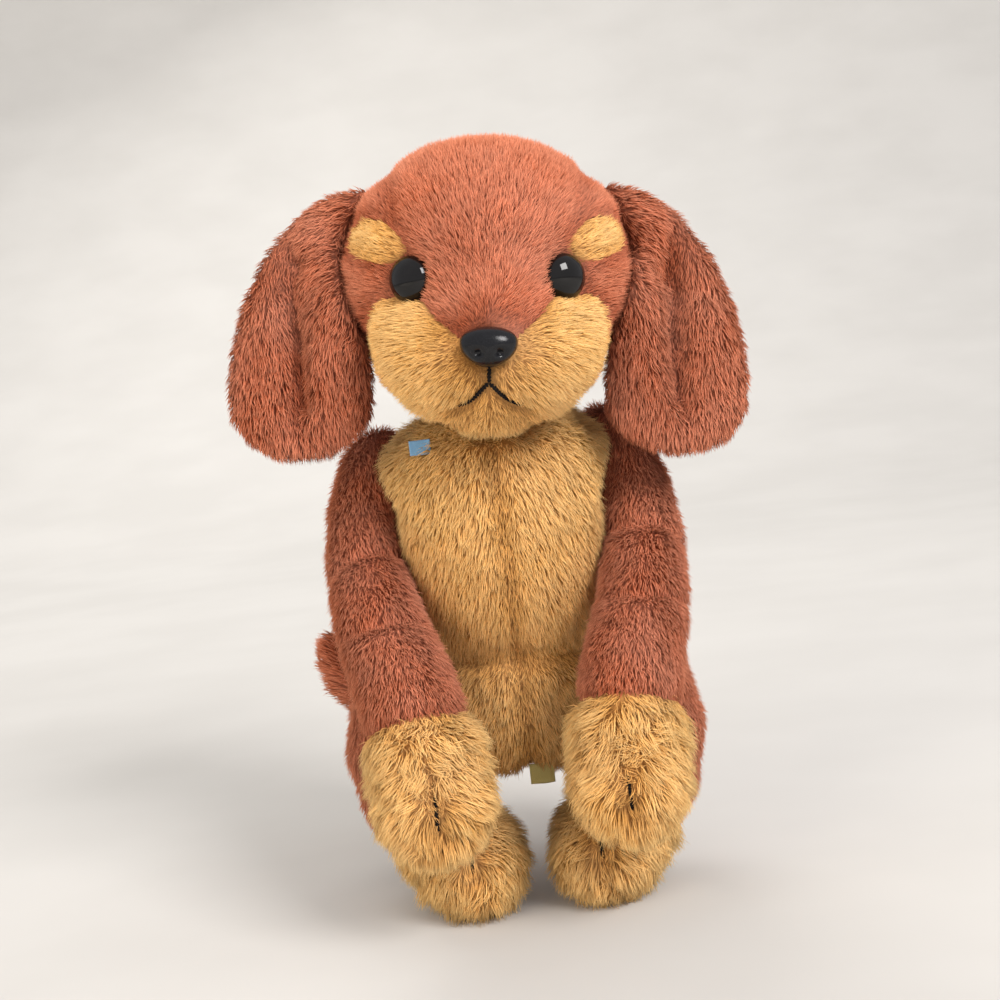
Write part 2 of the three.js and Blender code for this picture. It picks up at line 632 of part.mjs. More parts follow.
function buildBody() {
  const outer = torso(BIG_SKIN, 0);
  const above = (height) => beyond(new Vector3(0, 0, height), UP);
  const lining = torso(BIG_INSIDE, PILE).intersect(above(SEAT_HEIGHT + PILE));
  const limbs = [];
  for (const side of Object.values(SIDES)) {
    limbs.push(sweptRoom(FORELEG_STATIONS, side, SHOULDER, swingAxis, SHOULDER_SWING));
    limbs.push(sweptRoom(HIND_STATIONS, side, HIP, splayAxis(side), HIP_SPLAY));
  }
  const limbRoom = join(limbs);
  const neckRoom = ball(NECK.centre, NECK.radius + NECK.room);
  const shell = cut(outer, lining, limbRoom, neckRoom).intersect(above(SEAT_HEIGHT));

  const outline = bothSides(UNDERSIDE_EDGE);
  const underside = prismY(outline, -FAR, UNDERSIDE_BACK);
  const undersideRoom = prismY(grownOutline(outline, GAP), -FAR, UNDERSIDE_BACK + GAP);
  for (const [name, side] of Object.entries(SIDES)) {
    const half = beyond(new Vector3((side * GAP) / 2, 0, 0), new Vector3(side, 0, 0));
    addPiece(`${name}_chest_panel`, mainBody(shell.intersect(underside).intersect(half)), tanPlush());
    addPiece(`${name}_back_panel`, mainBody(cut(shell.intersect(half), undersideRoom)), rustPlush());
  }
  const filled = torso(BIG_INSIDE, PILE + GAP);
  const raised = cut(filled, limbRoom, neckRoom).intersect(above(SEAT_HEIGHT + PILE + GAP));
  addPiece("torso_stuffing", mainBody(raised), filling());
  buildLabels(torso(BIG_SKIN, -GAP));
}

function buildLabels(torsoRoom) {
  const flat = ({ width, thickness, height, at }) =>
    solidOf(new THREE.BoxGeometry(width, thickness, height).translate(...at));
  const aboveSeat = beyond(new Vector3(0, 0, SEAT_HEIGHT - GAP), UP);
  addPiece("care_label", mainBody(cut(flat(LABEL), torsoRoom.intersect(aboveSeat))), whiteRibbon());
  addPiece("neck_tag", mainBody(cut(flat(NECK_TAG), torsoRoom)), blueRibbon());
}

// ---------- Neck ----------

function buildNeck() {
  const whole = ball(NECK.centre, NECK.radius);
  const core = ball(NECK.centre, NECK.radius - PILE);
  const bottom = NECK.centre.clone().addScaledVector(UP, -NECK_COVER_HEIGHT);
  const top = NECK.centre.clone().addScaledVector(UP, NECK_COVER_HEIGHT);
  const band = beyond(bottom, UP).intersect(beyond(top, UP.clone().negate()));
  addPiece("neck_cover", cut(whole, core).intersect(band), rustPlush());
  addPiece("neck_stuffing", ball(NECK.centre, NECK.radius - PILE - GAP), filling());
}

buildHead();
buildNeck();
buildBody();
for (const [name, side] of Object.entries(SIDES)) {
  buildEar(name, side);
  buildForeleg(name, side);
  buildHindLeg(name, side);
}
buildTail();

// The origin goes on the floor, under the middle of the puppy's bounding box.
const bounds = new THREE.Box3().setFromObject(puppy);
const middle = bounds.getCenter(new Vector3());
for (const { geometry } of puppy.children) geometry.translate(-middle.x, -middle.y, -bounds.min.z);

export default puppy;
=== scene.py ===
"""A long-pile plush puppy: puffed cloth, sewn seams, combed pile, safety eyes, a nose, threads and labels.

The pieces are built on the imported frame. Sizes are in metres.
"""
import json
import math

import bmesh
import bpy
import numpy as np
from mathutils import Matrix, Vector
from mathutils.bvhtree import BVHTree
from mathutils.kdtree import KDTree


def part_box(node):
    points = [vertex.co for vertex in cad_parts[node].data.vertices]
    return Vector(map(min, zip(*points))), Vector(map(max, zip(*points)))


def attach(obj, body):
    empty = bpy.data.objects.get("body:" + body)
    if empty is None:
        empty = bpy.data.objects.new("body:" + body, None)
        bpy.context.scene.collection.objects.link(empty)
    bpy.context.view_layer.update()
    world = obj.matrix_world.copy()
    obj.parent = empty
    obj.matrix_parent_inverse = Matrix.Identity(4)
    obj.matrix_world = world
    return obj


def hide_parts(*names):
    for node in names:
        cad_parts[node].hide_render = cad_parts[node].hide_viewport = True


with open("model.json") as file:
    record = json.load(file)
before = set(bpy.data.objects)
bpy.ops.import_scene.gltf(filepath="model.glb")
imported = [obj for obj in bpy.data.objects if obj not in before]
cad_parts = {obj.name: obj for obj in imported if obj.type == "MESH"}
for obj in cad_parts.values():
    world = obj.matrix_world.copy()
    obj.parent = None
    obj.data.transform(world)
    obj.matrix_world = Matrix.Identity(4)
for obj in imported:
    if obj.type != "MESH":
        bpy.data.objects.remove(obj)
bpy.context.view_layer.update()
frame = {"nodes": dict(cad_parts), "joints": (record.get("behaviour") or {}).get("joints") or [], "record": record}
rng = np.random.default_rng(7)

MM = 0.001
SIDES = ("left", "right")
OUT = {"left": 1.0, "right": -1.0}  # the direction of each side along X
UP = np.array([0.0, 0.0, 1.0])
FORWARD = np.array([0.0, -1.0, 0.0])

# ---------- Small helpers ----------


def unit(rows):
    """Vectors scaled to length one, row by row."""
    length = np.linalg.norm(rows, axis=-1, keepdims=True)
    return rows / np.maximum(length, 1e-12)


def vectors(items, attribute):
    """A vector attribute of a mesh's vertices, normals or faces as an array."""
    flat = np.empty(len(items) * 3, np.float32)
    items.foreach_get(attribute, flat)
    return flat.reshape(-1, 3).astype(float)


def integers(items, attribute, each=1):
    """A whole-number attribute of a mesh's loops or faces, with one or more numbers for each of them."""
    flat = np.empty(len(items) * each, np.int32)
    items.foreach_get(attribute, flat)
    return flat


def corners(mesh):
    return vectors(mesh.vertices, "co")


def vertex_normals(mesh):
    return vectors(mesh.vertex_normals, "vector")


def move_corners(mesh, points):
    """Puts a mesh's vertices at the rows of an array."""
    mesh.vertices.foreach_set("co", points.astype(np.float32).ravel())
    mesh.update()


def cad_mesh(node):
    return frame["nodes"][node].data


def cad_corners(node):
    return corners(cad_mesh(node))


def centre(node):
    """The mean of a CAD node's vertices."""
    return cad_corners(node).mean(0)


def low_high(node):
    """The lowest and highest corner of a CAD node as arrays."""
    low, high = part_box(node)
    return np.array(low), np.array(high)


def link(name, data):
    """A new object in the scene."""
    obj = bpy.data.objects.new(name, data)
    bpy.context.scene.collection.objects.link(obj)
    return obj


def mesh_from(name, points, faces):
    """A smooth-shaded mesh."""
    mesh = bpy.data.meshes.new(name)
    mesh.from_pydata([tuple(p) for p in points], [], [tuple(int(i) for i in f) for f in faces])
    mesh.polygons.foreach_set("use_smooth", [True] * len(mesh.polygons))
    mesh.update()
    return mesh


def settle_modifiers(obj):
    """Makes an object's modifiers part of its mesh."""
    graph = bpy.context.evaluated_depsgraph_get()
    mesh = bpy.data.meshes.new_from_object(obj.evaluated_get(graph))
    obj.modifiers.clear()
    obj.data = mesh


def surface_tree(mesh):
    return BVHTree.FromPolygons([v.co for v in mesh.vertices], [tuple(p.vertices) for p in mesh.polygons])


NOISE_WAVES = 6


def smooth_noise(points, size, seed):
    """Soft noise between -1 and 1 at each point, as a sum of a few waves in random directions."""
    waves = np.random.default_rng(seed)
    total = np.zeros(len(points))
    for _ in range(NOISE_WAVES):
        direction = unit(waves.normal(size=3)) * waves.uniform(0.6, 1.6) / size
        total += np.sin(2 * math.pi * (points @ direction) + waves.uniform(0, 2 * math.pi))
    return total / NOISE_WAVES


# ---------- Materials ----------


def new_material(name):
    """A material with its Principled shader, a function that adds nodes and one that links them."""
    material = bpy.data.materials.new(name)
    material.use_nodes = True
    tree = material.node_tree
    shader = tree.nodes["Principled BSDF"]

    def add(kind, **values):
        node = tree.nodes.new(kind)
        for key, value in values.items():
            if hasattr(node, key):
                setattr(node, key, value)
            else:
                node.inputs[key].default_value = value
        return node

    return material, shader, add, tree.links.new


def set_inputs(node, **values):
    """Sets inputs of a node, named with an underscore for each space."""
    for name, value in values.items():
        node.inputs[name.replace("_", " ")].default_value = value


def emboss(shader, add, wire, height, strength, distance):
    """Raises a shader's surface by a height."""
    relief = add("ShaderNodeBump", Strength=strength, Distance=distance)
    wire(height, relief.inputs["Height"])
    wire(relief.outputs["Normal"], shader.inputs["Normal"])


def ramp(add, stops):
    node = add("ShaderNodeValToRGB")
    elements = node.color_ramp.elements
    while len(elements) < len(stops):
        elements.new(0.5)
    for element, (position, colour) in zip(elements, stops):
        element.position = position
        element.color = (*colour, 1)
    return node


def plush_material(name, root, middle, tip, tint):
    """Pile: dark at the root, light at the tip, varied by fibre, by tuft and by patch."""
    material, shader, add, wire = new_material(name)
    pile = add("ShaderNodeAttribute", attribute_name="pile")
    parts = add("ShaderNodeSeparateColor")
    along = ramp(add, [(0.0, root), (0.45, middle), (1.0, tip)])
    wire(pile.outputs["Color"], parts.inputs["Color"])
    wire(parts.outputs["Red"], along.inputs["Fac"])
    place = add("ShaderNodeTexCoord")
    patches = add("ShaderNodeTexNoise", Scale=38.0, Detail=2.0)
    wire(place.outputs["Object"], patches.inputs["Vector"])
    fibre, tuft, share = (add("ShaderNodeMapRange") for _ in range(3))
    set_inputs(fibre, To_Min=0.84, To_Max=1.14)
    wire(parts.outputs["Green"], fibre.inputs["Value"])
    set_inputs(tuft, To_Min=0.88, To_Max=1.1)
    wire(parts.outputs["Blue"], tuft.inputs["Value"])
    varied = add("ShaderNodeMath", operation="MULTIPLY")
    wire(fibre.outputs["Result"], varied.inputs[0])
    wire(tuft.outputs["Result"], varied.inputs[1])
    tinted = add("ShaderNodeMixRGB", blend_type="MIX", Color2=(*tint, 1))
    set_inputs(share, From_Min=0.35, From_Max=0.75, To_Max=0.35)
    wire(patches.outputs["Fac"], share.inputs["Value"])
    wire(share.outputs["Result"], tinted.inputs["Fac"])
    wire(along.outputs["Color"], tinted.inputs["Color1"])
    shade = add("ShaderNodeVectorMath", operation="SCALE")
    wire(tinted.outputs["Color"], shade.inputs[0])
    wire(varied.outputs["Value"], shade.inputs["Scale"])
    wire(shade.outputs["Vector"], shader.inputs["Base Color"])
    set_inputs(shader, Roughness=0.72, Specular_IOR_Level=0.25)
    set_inputs(shader, Sheen_Weight=0.35, Sheen_Roughness=0.4, Sheen_Tint=(*tip, 1))
    return material


def grained_material(name, colour, second, scale, roughness, bump, sheen=0.0, specular=0.5):
    """A moulded or woven surface with a fine grain in its colour and relief."""
    material, shader, add, wire = new_material(name)
    place = add("ShaderNodeTexCoord")
    grain = add("ShaderNodeTexNoise", Scale=scale, Detail=4.0, Roughness=0.6)
    wire(place.outputs["Object"], grain.inputs["Vector"])
    colours = ramp(add, [(0.3, colour), (0.7, second)])
    wire(grain.outputs["Fac"], colours.inputs["Fac"])
    wire(colours.outputs["Color"], shader.inputs["Base Color"])
    emboss(shader, add, wire, grain.outputs["Fac"], strength=bump, distance=0.4 * MM)
    set_inputs(shader, Roughness=roughness, Sheen_Weight=sheen, Specular_IOR_Level=specular)
    return material


def ribbon_material(name, colour, second, threads_per_metre):
    """Woven ribbon: fine warp and weft."""
    material, shader, add, wire = new_material(name)
    place = add("ShaderNodeTexCoord")
    warp = add("ShaderNodeTexWave", bands_direction="X", Scale=threads_per_metre, Distortion=0.4)
    weft = add("ShaderNodeTexWave", bands_direction="Z", Scale=threads_per_metre, Distortion=0.4)
    wire(place.outputs["Object"], warp.inputs["Vector"])
    wire(place.outputs["Object"], weft.inputs["Vector"])
    weave = add("ShaderNodeMath", operation="MULTIPLY")
    wire(warp.outputs["Fac"], weave.inputs[0])
    wire(weft.outputs["Fac"], weave.inputs[1])
    colours = ramp(add, [(0.0, second), (0.8, colour)])
    wire(weave.outputs["Value"], colours.inputs["Fac"])
    wire(colours.outputs["Color"], shader.inputs["Base Color"])
    emboss(shader, add, wire, weave.outputs["Value"], strength=0.4, distance=0.2 * MM)
    set_inputs(shader, Roughness=0.6, Sheen_Weight=0.4)
    return material


MATERIALS = {
    "rust_plush": plush_material(
        "rust_plush", (0.10, 0.019, 0.007), (0.44, 0.105, 0.042), (0.82, 0.30, 0.165), (0.70, 0.31, 0.20)
    ),
    "tan_plush": plush_material(
        "tan_plush", (0.28, 0.11, 0.026), (0.80, 0.40, 0.105), (1.0, 0.68, 0.29), (0.96, 0.60, 0.27)
    ),
    "black_thread": grained_material(
        "black_thread", (0.004, 0.003, 0.003), (0.012, 0.009, 0.007), 2600, 0.8, 0.5, specular=0.2
    ),
    "eye_plastic": grained_material(
        "eye_plastic", (0.003, 0.0025, 0.0025), (0.006, 0.005, 0.005), 150, 0.03, 0.0, specular=0.35
    ),
    "nose_plastic": grained_material(
        "nose_plastic", (0.004, 0.004, 0.005), (0.009, 0.009, 0.011), 1500, 0.2, 0.12, specular=0.3
    ),
    "washer_plastic": grained_material(
        "washer_plastic", (0.72, 0.71, 0.66), (0.80, 0.79, 0.75), 700, 0.45, 0.2
    ),
    "fibre_filling": grained_material(
        "fibre_filling", (0.70, 0.68, 0.63), (0.90, 0.89, 0.86), 900, 0.9, 0.9, sheen=0.6
    ),
    "label_fabric": ribbon_material("label_fabric", (0.80, 0.70, 0.25), (0.52, 0.44, 0.14), 900),
    "tag_fabric": ribbon_material("tag_fabric", (0.25, 0.50, 0.75), (0.12, 0.28, 0.48), 900),
}

SLOTS = {row["node"]: row["material_slot"] for row in frame["record"]["subparts"]}


def dress(obj, slot, body, *nodes):
    """Gives a finished piece its material and its body, and hides the CAD nodes it stands for."""
    obj.data.materials.clear()
    obj.data.materials.append(MATERIALS[slot])
    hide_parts(*nodes)
    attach(obj, body)


# ---------- Soft forms ----------

BACKING_DEPTH = 2.0 * MM  # the cloth lies this far inside the CAD panel's pressed pile
CLOTH_THICKNESS = 0.8 * MM
PUFF_LIMIT = 3.0 * MM
PUFF_FRAMES = 20
SEAM_DEPTH = 2.0 * MM
SEAM_WIDTH = 5.0 * MM


def built(name, build):
    """A bmesh as a mesh object."""
    mesh = bpy.data.meshes.new(name)
    build.to_mesh(mesh)
    build.free()
    return link(name, mesh)


def merged(name, meshes):
    """One mesh object that holds copies of some meshes."""
    build = bmesh.new()
    for mesh in meshes:
        build.from_mesh(mesh)
    return built(name, build)


def keep_outer_skin(obj):
    """Removes any closed pocket that a remesh leaves inside: only the largest connected surface stays."""
    build = bmesh.new()
    build.from_mesh(obj.data)
    build.verts.ensure_lookup_table()
    seen, islands = set(), []
    for start in build.verts:
        if start.index in seen:
            continue
        island, queue = [], [start]
        seen.add(start.index)
        while queue:
            vertex = queue.pop()
            island.append(vertex)
            for edge in vertex.link_edges:
                other = edge.other_vert(vertex)
                if other.index not in seen:
                    seen.add(other.index)
                    queue.append(other)
        islands.append(island)
    islands.sort(key=len)
    bmesh.ops.delete(build, geom=[v for island in islands[:-1] for v in island], context="VERTS")
    build.to_mesh(obj.data)
    build.free()


def remesh(obj, voxel, smoothing):
    """Gives an object one even, softened skin."""
    even = obj.modifiers.new("even", "REMESH")
    even.mode = "VOXEL"
    even.voxel_size = voxel
    even.use_smooth_shade = True
    soften = obj.modifiers.new("soften", "SMOOTH")
    soften.factor = 0.5
    soften.iterations = smoothing
    settle_modifiers(obj)
    keep_outer_skin(obj)


class Panels:
    """The CAD panels of a body, and which of them a point belongs to."""

    def __init__(self, nodes):
        self.nodes = nodes
        self.trees = [surface_tree(cad_mesh(node)) for node in nodes]

    def nearest(self, points):
        """For each point: the index of its panel and how far it is from the seam with the next one."""
        reach = np.array([[tree.find_nearest(Vector(p))[3] for tree in self.trees] for p in points])
        owner = reach.argmin(1)
        if len(self.nodes) == 1:
            return owner, np.full(len(points), 1.0)
        two = np.partition(reach, 1, axis=1)
        return owner, two[:, 1] - two[:, 0]


def puff(obj, held):
    """Lets the cloth swell under its filling's pressure while the held vertices, its seams, stay put."""
    before = corners(obj.data)
    group = obj.vertex_groups.new(name="seams")
    group.add([int(i) for i in np.nonzero(held)[0]], 1.0, "REPLACE")
    cloth = obj.modifiers.new("cloth", "CLOTH")
    cloth.settings.quality = 5
    cloth.settings.mass = 0.3
    cloth.settings.tension_stiffness = 20
    cloth.settings.compression_stiffness = 20
    cloth.settings.use_pressure = True
    cloth.settings.uniform_pressure_force = 4
    cloth.settings.vertex_group_mass = group.name
    cloth.settings.effector_weights.gravity = 0
    cloth.point_cache.frame_start = 1
    cloth.point_cache.frame_end = PUFF_FRAMES
    for number in range(1, PUFF_FRAMES + 1):
        bpy.context.scene.frame_set(number)
        bpy.context.evaluated_depsgraph_get()
    settle_modifiers(obj)
    moved = corners(obj.data) - before
    length = np.linalg.norm(moved, axis=1, keepdims=True)
    capped = before + moved * np.minimum(1, PUFF_LIMIT / np.maximum(length, 1e-9))
    move_corners(obj.data, capped)
    bpy.context.scene.frame_set(1)


STEEP = 3.0  # how much narrower the steep side of a fold is than its other side
WANDER = {"size": 1.5 * MM, "spacing": 30 * MM, "seed": 5}  # how a crease strays from its plane


def across_plane(origin, normal):
    """A crease where a plane cuts the front of a body: how far points are from it, a little uneven."""
    normal = unit(np.array(normal, float))

    def distance(points):
        stray = WANDER["size"] * smooth_noise(points, WANDER["spacing"], WANDER["seed"])
        return (points - origin) @ normal + stray

    return distance


def along_line(line, steep_side=None):
    """A crease along a line of points: how far other points are from it.

    With a direction for its steep side, points on that side count as farther away.
    """
    line = np.array(line, float)
    tree = KDTree(len(line))
    for number, place in enumerate(line):
        tree.insert(Vector(place), number)
    tree.balance()

    def distance(points):
        found = [tree.find(Vector(p)) for p in points]
        reach = np.array([f[2] for f in found])
        if steep_side is None:
            return reach
        across = (points - line[[f[1] for f in found]]) @ steep_side
        return np.where(across > 0, reach * STEEP, reach)

    return distance


def crease_depth(points, facing, creases):
    """How deep each point of a body's front lies in its creases, given as (distance, depth, width)."""
    total = np.zeros(len(points))
    for distance, depth, width in creases:
        total += depth * np.exp(-((distance(points) / width) ** 2))
    return total * np.clip(facing @ FORWARD + 0.2, 0, 1)


def soft_form(
    name, panel_nodes, inner_nodes, voxel=3.5 * MM, smoothing=6, plugs=(),
    inset=BACKING_DEPTH, seam=SEAM_DEPTH, creases=(),
):
    """The backing cloth of a body as one closed surface: remeshed, puffed, pinched at its seams, set in."""
    obj = merged(name, [cad_mesh(node) for node in [*panel_nodes, *inner_nodes]] + list(plugs))
    remesh(obj, voxel, smoothing)
    panels = Panels(panel_nodes)
    puff(obj, panels.nearest(corners(obj.data))[1] < SEAM_WIDTH)
    refine = obj.modifiers.new("refine", "SUBSURF")
    refine.levels = 1
    settle_modifiers(obj)
    points = corners(obj.data)
    facing = vertex_normals(obj.data)
    pinch = seam * np.exp(-((panels.nearest(points)[1] / SEAM_WIDTH) ** 2))
    lumps = 0.5 * MM * smooth_noise(points, 22 * MM, len(name))
    points -= facing * (inset + pinch - lumps + crease_depth(points, facing, creases))[:, None]
    move_corners(obj.data, points)
    return obj, panels


# ---------- Pile ----------


class Pile:
    """How the pile of a panel grows: sizes in millimetres, density in fibres on a square millimetre."""

    def __init__(self, length, density, lift=0.55, width=0.5, clump=3.5, pull=0.45, scatter=0.28):
        self.length = length * MM
        self.density = density * 1.0
        self.lift = lift  # 1 stands straight up and 0 lies flat
        self.width = width * MM * 1.0
        self.clump = clump * MM  # distance between tufts
        self.pull = pull  # how strongly the tips of a tuft gather
        self.scatter = scatter  # how far the fibres stray from the combed direction


def scatter_points(mesh, density):
    """Evenly spread points over a mesh with their smooth normals."""
    mesh.calc_loop_triangles()
    triangles = integers(mesh.loop_triangles, "vertices", each=3).reshape(-1, 3)
    points, normals = corners(mesh), vertex_normals(mesh)
    a, b, c = (points[triangles[:, k]] for k in range(3))
    area = np.linalg.norm(np.cross(b - a, c - a), axis=1) / 2
    total = np.cumsum(area)
    count = int(total[-1] / MM**2 * density)
    marks = (np.arange(count) + rng.uniform(size=count)) * total[-1] / count
    chosen = np.minimum(np.searchsorted(total, marks), len(area) - 1)
    u, v = rng.uniform(size=(2, count))
    over = u + v > 1
    u[over], v[over] = 1 - u[over], 1 - v[over]
    weights = np.stack([1 - u - v, u, v], axis=1)[:, :, None]
    place = (points[triangles[chosen]] * weights).sum(1)
    facing = unit((normals[triangles[chosen]] * weights).sum(1))
    return place, facing


ROOT_DEPTH = 0.4 * MM  # fibres start this far inside the cloth
BEND = 0.5  # how much further than its lower half a fibre's upper half lies over
DROOP = 0.12  # how much its own weight bends it
LENGTHS = (0.8, 1.12)  # the shortest and the longest fibres, as shares of the pile's length
LIFTS = (0.12, 0.95)  # the flattest and the steepest fibres
LIFT_SPREAD = 0.08


def fibres(place, facing, comb, pile, trim):
    """The root, middle and tip of each fibre, and its tuft's random value."""
    count = len(place)
    along = comb - (comb * facing).sum(1, keepdims=True) * facing
    along = unit(along + rng.normal(scale=pile.scatter, size=(count, 3)))
    length = pile.length * rng.uniform(*LENGTHS, size=count) * trim
    rise = np.clip(pile.lift + rng.normal(scale=LIFT_SPREAD, size=count), *LIFTS)[:, None]
    first = unit(facing * rise + along * (1 - rise))
    second = unit(first + along * BEND - UP * DROOP)
    middle = place + first * length[:, None] * 0.5
    tip = middle + second * length[:, None] * 0.5

    tufts = max(1, int(count / max(1.0, pile.density * (pile.clump / MM) ** 2)))
    leaders = rng.choice(count, size=tufts, replace=False)
    tree = KDTree(tufts)
    for number, leader in enumerate(leaders):
        tree.insert(Vector(place[leader]), number)
    tree.balance()
    tuft = np.array([tree.find(Vector(p))[1] for p in place])
    leader = leaders[tuft]
    gather = pile.pull * rng.uniform(0.5, 1.0, size=(count, 1))
    tip += (tip[leader] - tip) * gather
    middle += (middle[leader] - middle) * gather * 0.4
    tone = rng.uniform(size=tufts)[tuft]
    return place - facing * ROOT_DEPTH, middle, tip, tone


MIDDLE_WIDTH = 0.84  # a fibre's width at its middle, as a share of its width at the root
# Trimmed fibres are painted darker: painted shade at seams, creases and round the eyes, nose and mouth
LEAST_LIT_TIP = 0.25  # how light the tip of a fibre is that is trimmed away almost to nothing


def fibre_mesh(root, middle, tip, width, tuft_value, facing, painted_lightness):
    """Vertices and faces of closed three-sided tapering fibres, with colours and normals for shading.

    The lower a fibre's painted lightness, the less of its light tip colour it shows: trimmed fibres get painted
    shade.
    """
    count = len(root)
    first, second = unit(middle - root), unit(tip - middle)
    wide = unit(np.cross(first, facing) + 1e-6)
    deep = unit(np.cross(first, wide))
    vertices = np.empty((count, 7, 3))
    for corner in range(3):
        angle = 2 * math.pi * corner / 3 + math.pi / 2
        ring = wide * math.cos(angle) + deep * math.sin(angle)
        vertices[:, corner] = root + ring * width[:, None] / 2
        vertices[:, 3 + corner] = middle + ring * MIDDLE_WIDTH * width[:, None] / 2
    vertices[:, 6] = tip
    quads, triangles = [], [(0, 2, 1)]
    for corner in range(3):
        after = (corner + 1) % 3
        quads.append((corner, after, 3 + after, 3 + corner))
        triangles.append((3 + corner, 3 + after, 6))
    along = np.array([0, 0, 0, 0.5, 0.5, 0.5, 1.0])
    colour = np.ones((count, 7, 4), np.float32)
    # Painted shade: a trimmed fibre reads darker colours from the root-to-tip ramp
    colour[:, :, 0] = along * np.clip(LEAST_LIT_TIP + (1 - LEAST_LIT_TIP) * painted_lightness, 0, 1)[:, None]
    colour[:, :, 1] = rng.uniform(size=(count, 1))
    colour[:, :, 2] = tuft_value[:, None]
    outward = vertices - (root[:, None] * (1 - along)[None, :, None] + tip[:, None] * along[None, :, None])
    normals = unit(facing[:, None] * 0.75 + unit(outward) * 0.35 + second[:, None] * 0.1)
    return vertices, quads, triangles, colour, normals


def cloth_and_pile(name, skin, fibre_parts):
    """One mesh that holds a panel's cloth and its fibres, with their shading data and a UV cell for each."""
    vertices, quads, triangles, colour, normals = fibre_parts
    count = len(vertices)
    skin_points, skin_normals = corners(skin), vertex_normals(skin)
    offset = len(skin_points)
    start = offset + 7 * np.arange(count)[:, None, None]
    quad_corners = (start + np.array(quads)[None]).reshape(-1)
    triangle_corners = (start + np.array(triangles)[None]).reshape(-1)
    skin_loops = integers(skin.loops, "vertex_index")
    skin_sizes = integers(skin.polygons, "loop_total")

    loops = np.concatenate([skin_loops, quad_corners, triangle_corners]).astype(np.int32)
    sizes = np.concatenate([skin_sizes, np.full(3 * count, 4), np.full(4 * count, 3)]).astype(np.int32)
    mesh = bpy.data.meshes.new(name)
    mesh.vertices.add(offset + 7 * count)
    mesh.loops.add(len(loops))
    mesh.polygons.add(len(sizes))
    every = np.concatenate([skin_points, vertices.reshape(-1, 3)])
    mesh.vertices.foreach_set("co", every.astype(np.float32).ravel())
    mesh.loops.foreach_set("vertex_index", loops)
    mesh.polygons.foreach_set("loop_start", np.concatenate([[0], np.cumsum(sizes)[:-1]]).astype(np.int32))
    mesh.polygons.foreach_set("use_smooth", np.ones(len(sizes), bool))
    mesh.update(calc_edges=True)

    base = np.tile(np.array([0.12, 0.5, 0.5, 1.0], np.float32), (offset, 1))
    shades = mesh.attributes.new("pile", "FLOAT_COLOR", "POINT")
    shades.data.foreach_set("color", np.concatenate([base, colour.reshape(-1, 4)]).ravel())
    lay_out(mesh, skin_sizes, count, quads, triangles)
    mesh.normals_split_custom_set_from_vertices(np.concatenate([skin_normals, normals.reshape(-1, 3)]))
    return mesh


def lay_out(mesh, skin_sizes, count, quads, triangles):
    """A texture layout in which each cloth face and each fibre has its own small square."""
    cells = len(skin_sizes) + count
    side = int(math.ceil(math.sqrt(cells)))
    low, high = 0.2, 0.8
    column, row = np.arange(cells) % side, np.arange(cells) // side
    square = np.array([(low, low), (high, low), (high, high), (low, high)])
    uv = []
    for number, size in enumerate(skin_sizes):
        turn = np.resize(square, (size, 2)) if size > 4 else square[:size]
        uv.append((turn + [column[number], row[number]]) / side)
    height = [low, low, low, 0.5, 0.5, 0.5, high]
    across = [low, 0.5, high, low, 0.5, high, 0.5]
    local = np.array(list(zip(across, height)))
    place = np.stack([column[len(skin_sizes):], row[len(skin_sizes):]], axis=1)[:, None, None]
    for shapes in (quads, triangles):
        block = (local[np.array(shapes)][None] + place) / side
        uv.append(block.reshape(-1, 2))
    layer = mesh.uv_layers.new(name="OFBake")
    layer.data.foreach_set("uv", np.concatenate(uv).astype(np.float32).ravel())


def panel_skin(form, panels, index, name):
    """The part of a soft form that lies in one panel, as cloth with a thickness."""
    owner = panels.nearest(vectors(form.data.polygons, "center"))[0]
    build = bmesh.new()
    build.from_mesh(form.data)
    build.faces.ensure_lookup_table()
    others = [build.faces[int(i)] for i in np.nonzero(owner != index)[0]]
    bmesh.ops.delete(build, geom=others, context="FACES")
    obj = built(name, build)
    if len(obj.data.polygons):
        thick = obj.modifiers.new("thick", "SOLIDIFY")
        thick.thickness = CLOTH_THICKNESS
        thick.offset = -1
        settle_modifiers(obj)
    return obj


# Along a seam the pile is shorter and, by the same share, painted darker: painted shade.
SEAM_TRIM = {"share": 0.35, "width": 2.5 * MM}  # the pile is shorter along a seam
SHORTEST = 0.08  # a fibre with less than this share of its length is left out


def grow_pile(form, panels, body, styles, comb, trim=None):
    """Turns a soft form into one finished piece for each of its panels: cloth with its pile."""
    densest = max(style.density for style in styles.values())
    place, facing = scatter_points(form.data, densest)
    owner, from_seam = panels.nearest(place)
    shorten_and_shade = 1 - SEAM_TRIM["share"] * np.exp(-((from_seam / SEAM_TRIM["width"]) ** 2))
    keep = np.ones(len(place), bool)
    if trim is not None:
        factor = trim(place)
        shorten_and_shade *= factor
        keep &= factor > SHORTEST
    for index, node in enumerate(panels.nodes):
        style = styles[node]
        mine = keep & (owner == index) & (rng.uniform(size=len(place)) < style.density / densest)
        skin = panel_skin(form, panels, index, node + "_plush")
        combed = comb(place[mine], facing[mine], node)
        root, middle, tip, tone = fibres(place[mine], facing[mine], combed, style, shorten_and_shade[mine])
        width = style.width * rng.uniform(0.75, 1.15, size=len(root))
        # The same share that shortens a fibre paints shade on it
        parts = fibre_mesh(root, middle, tip, width, tone, facing[mine], shorten_and_shade[mine])
        skin.data = cloth_and_pile(node + "_plush", skin.data, parts)
        dress(skin, SLOTS[node], body, node)
    bpy.data.objects.remove(form)


def unruly(field, amount=0.05):
    """A combed direction field with a little disorder in it."""
    return field + rng.normal(scale=amount, size=field.shape)


def rising(reach, clear, full):
    """0 up to the clear distance, rising softly to 1 at the full distance."""
    share = np.clip((reach - clear) / (full - clear), 0, 1)
    return share * share * (3 - 2 * share)


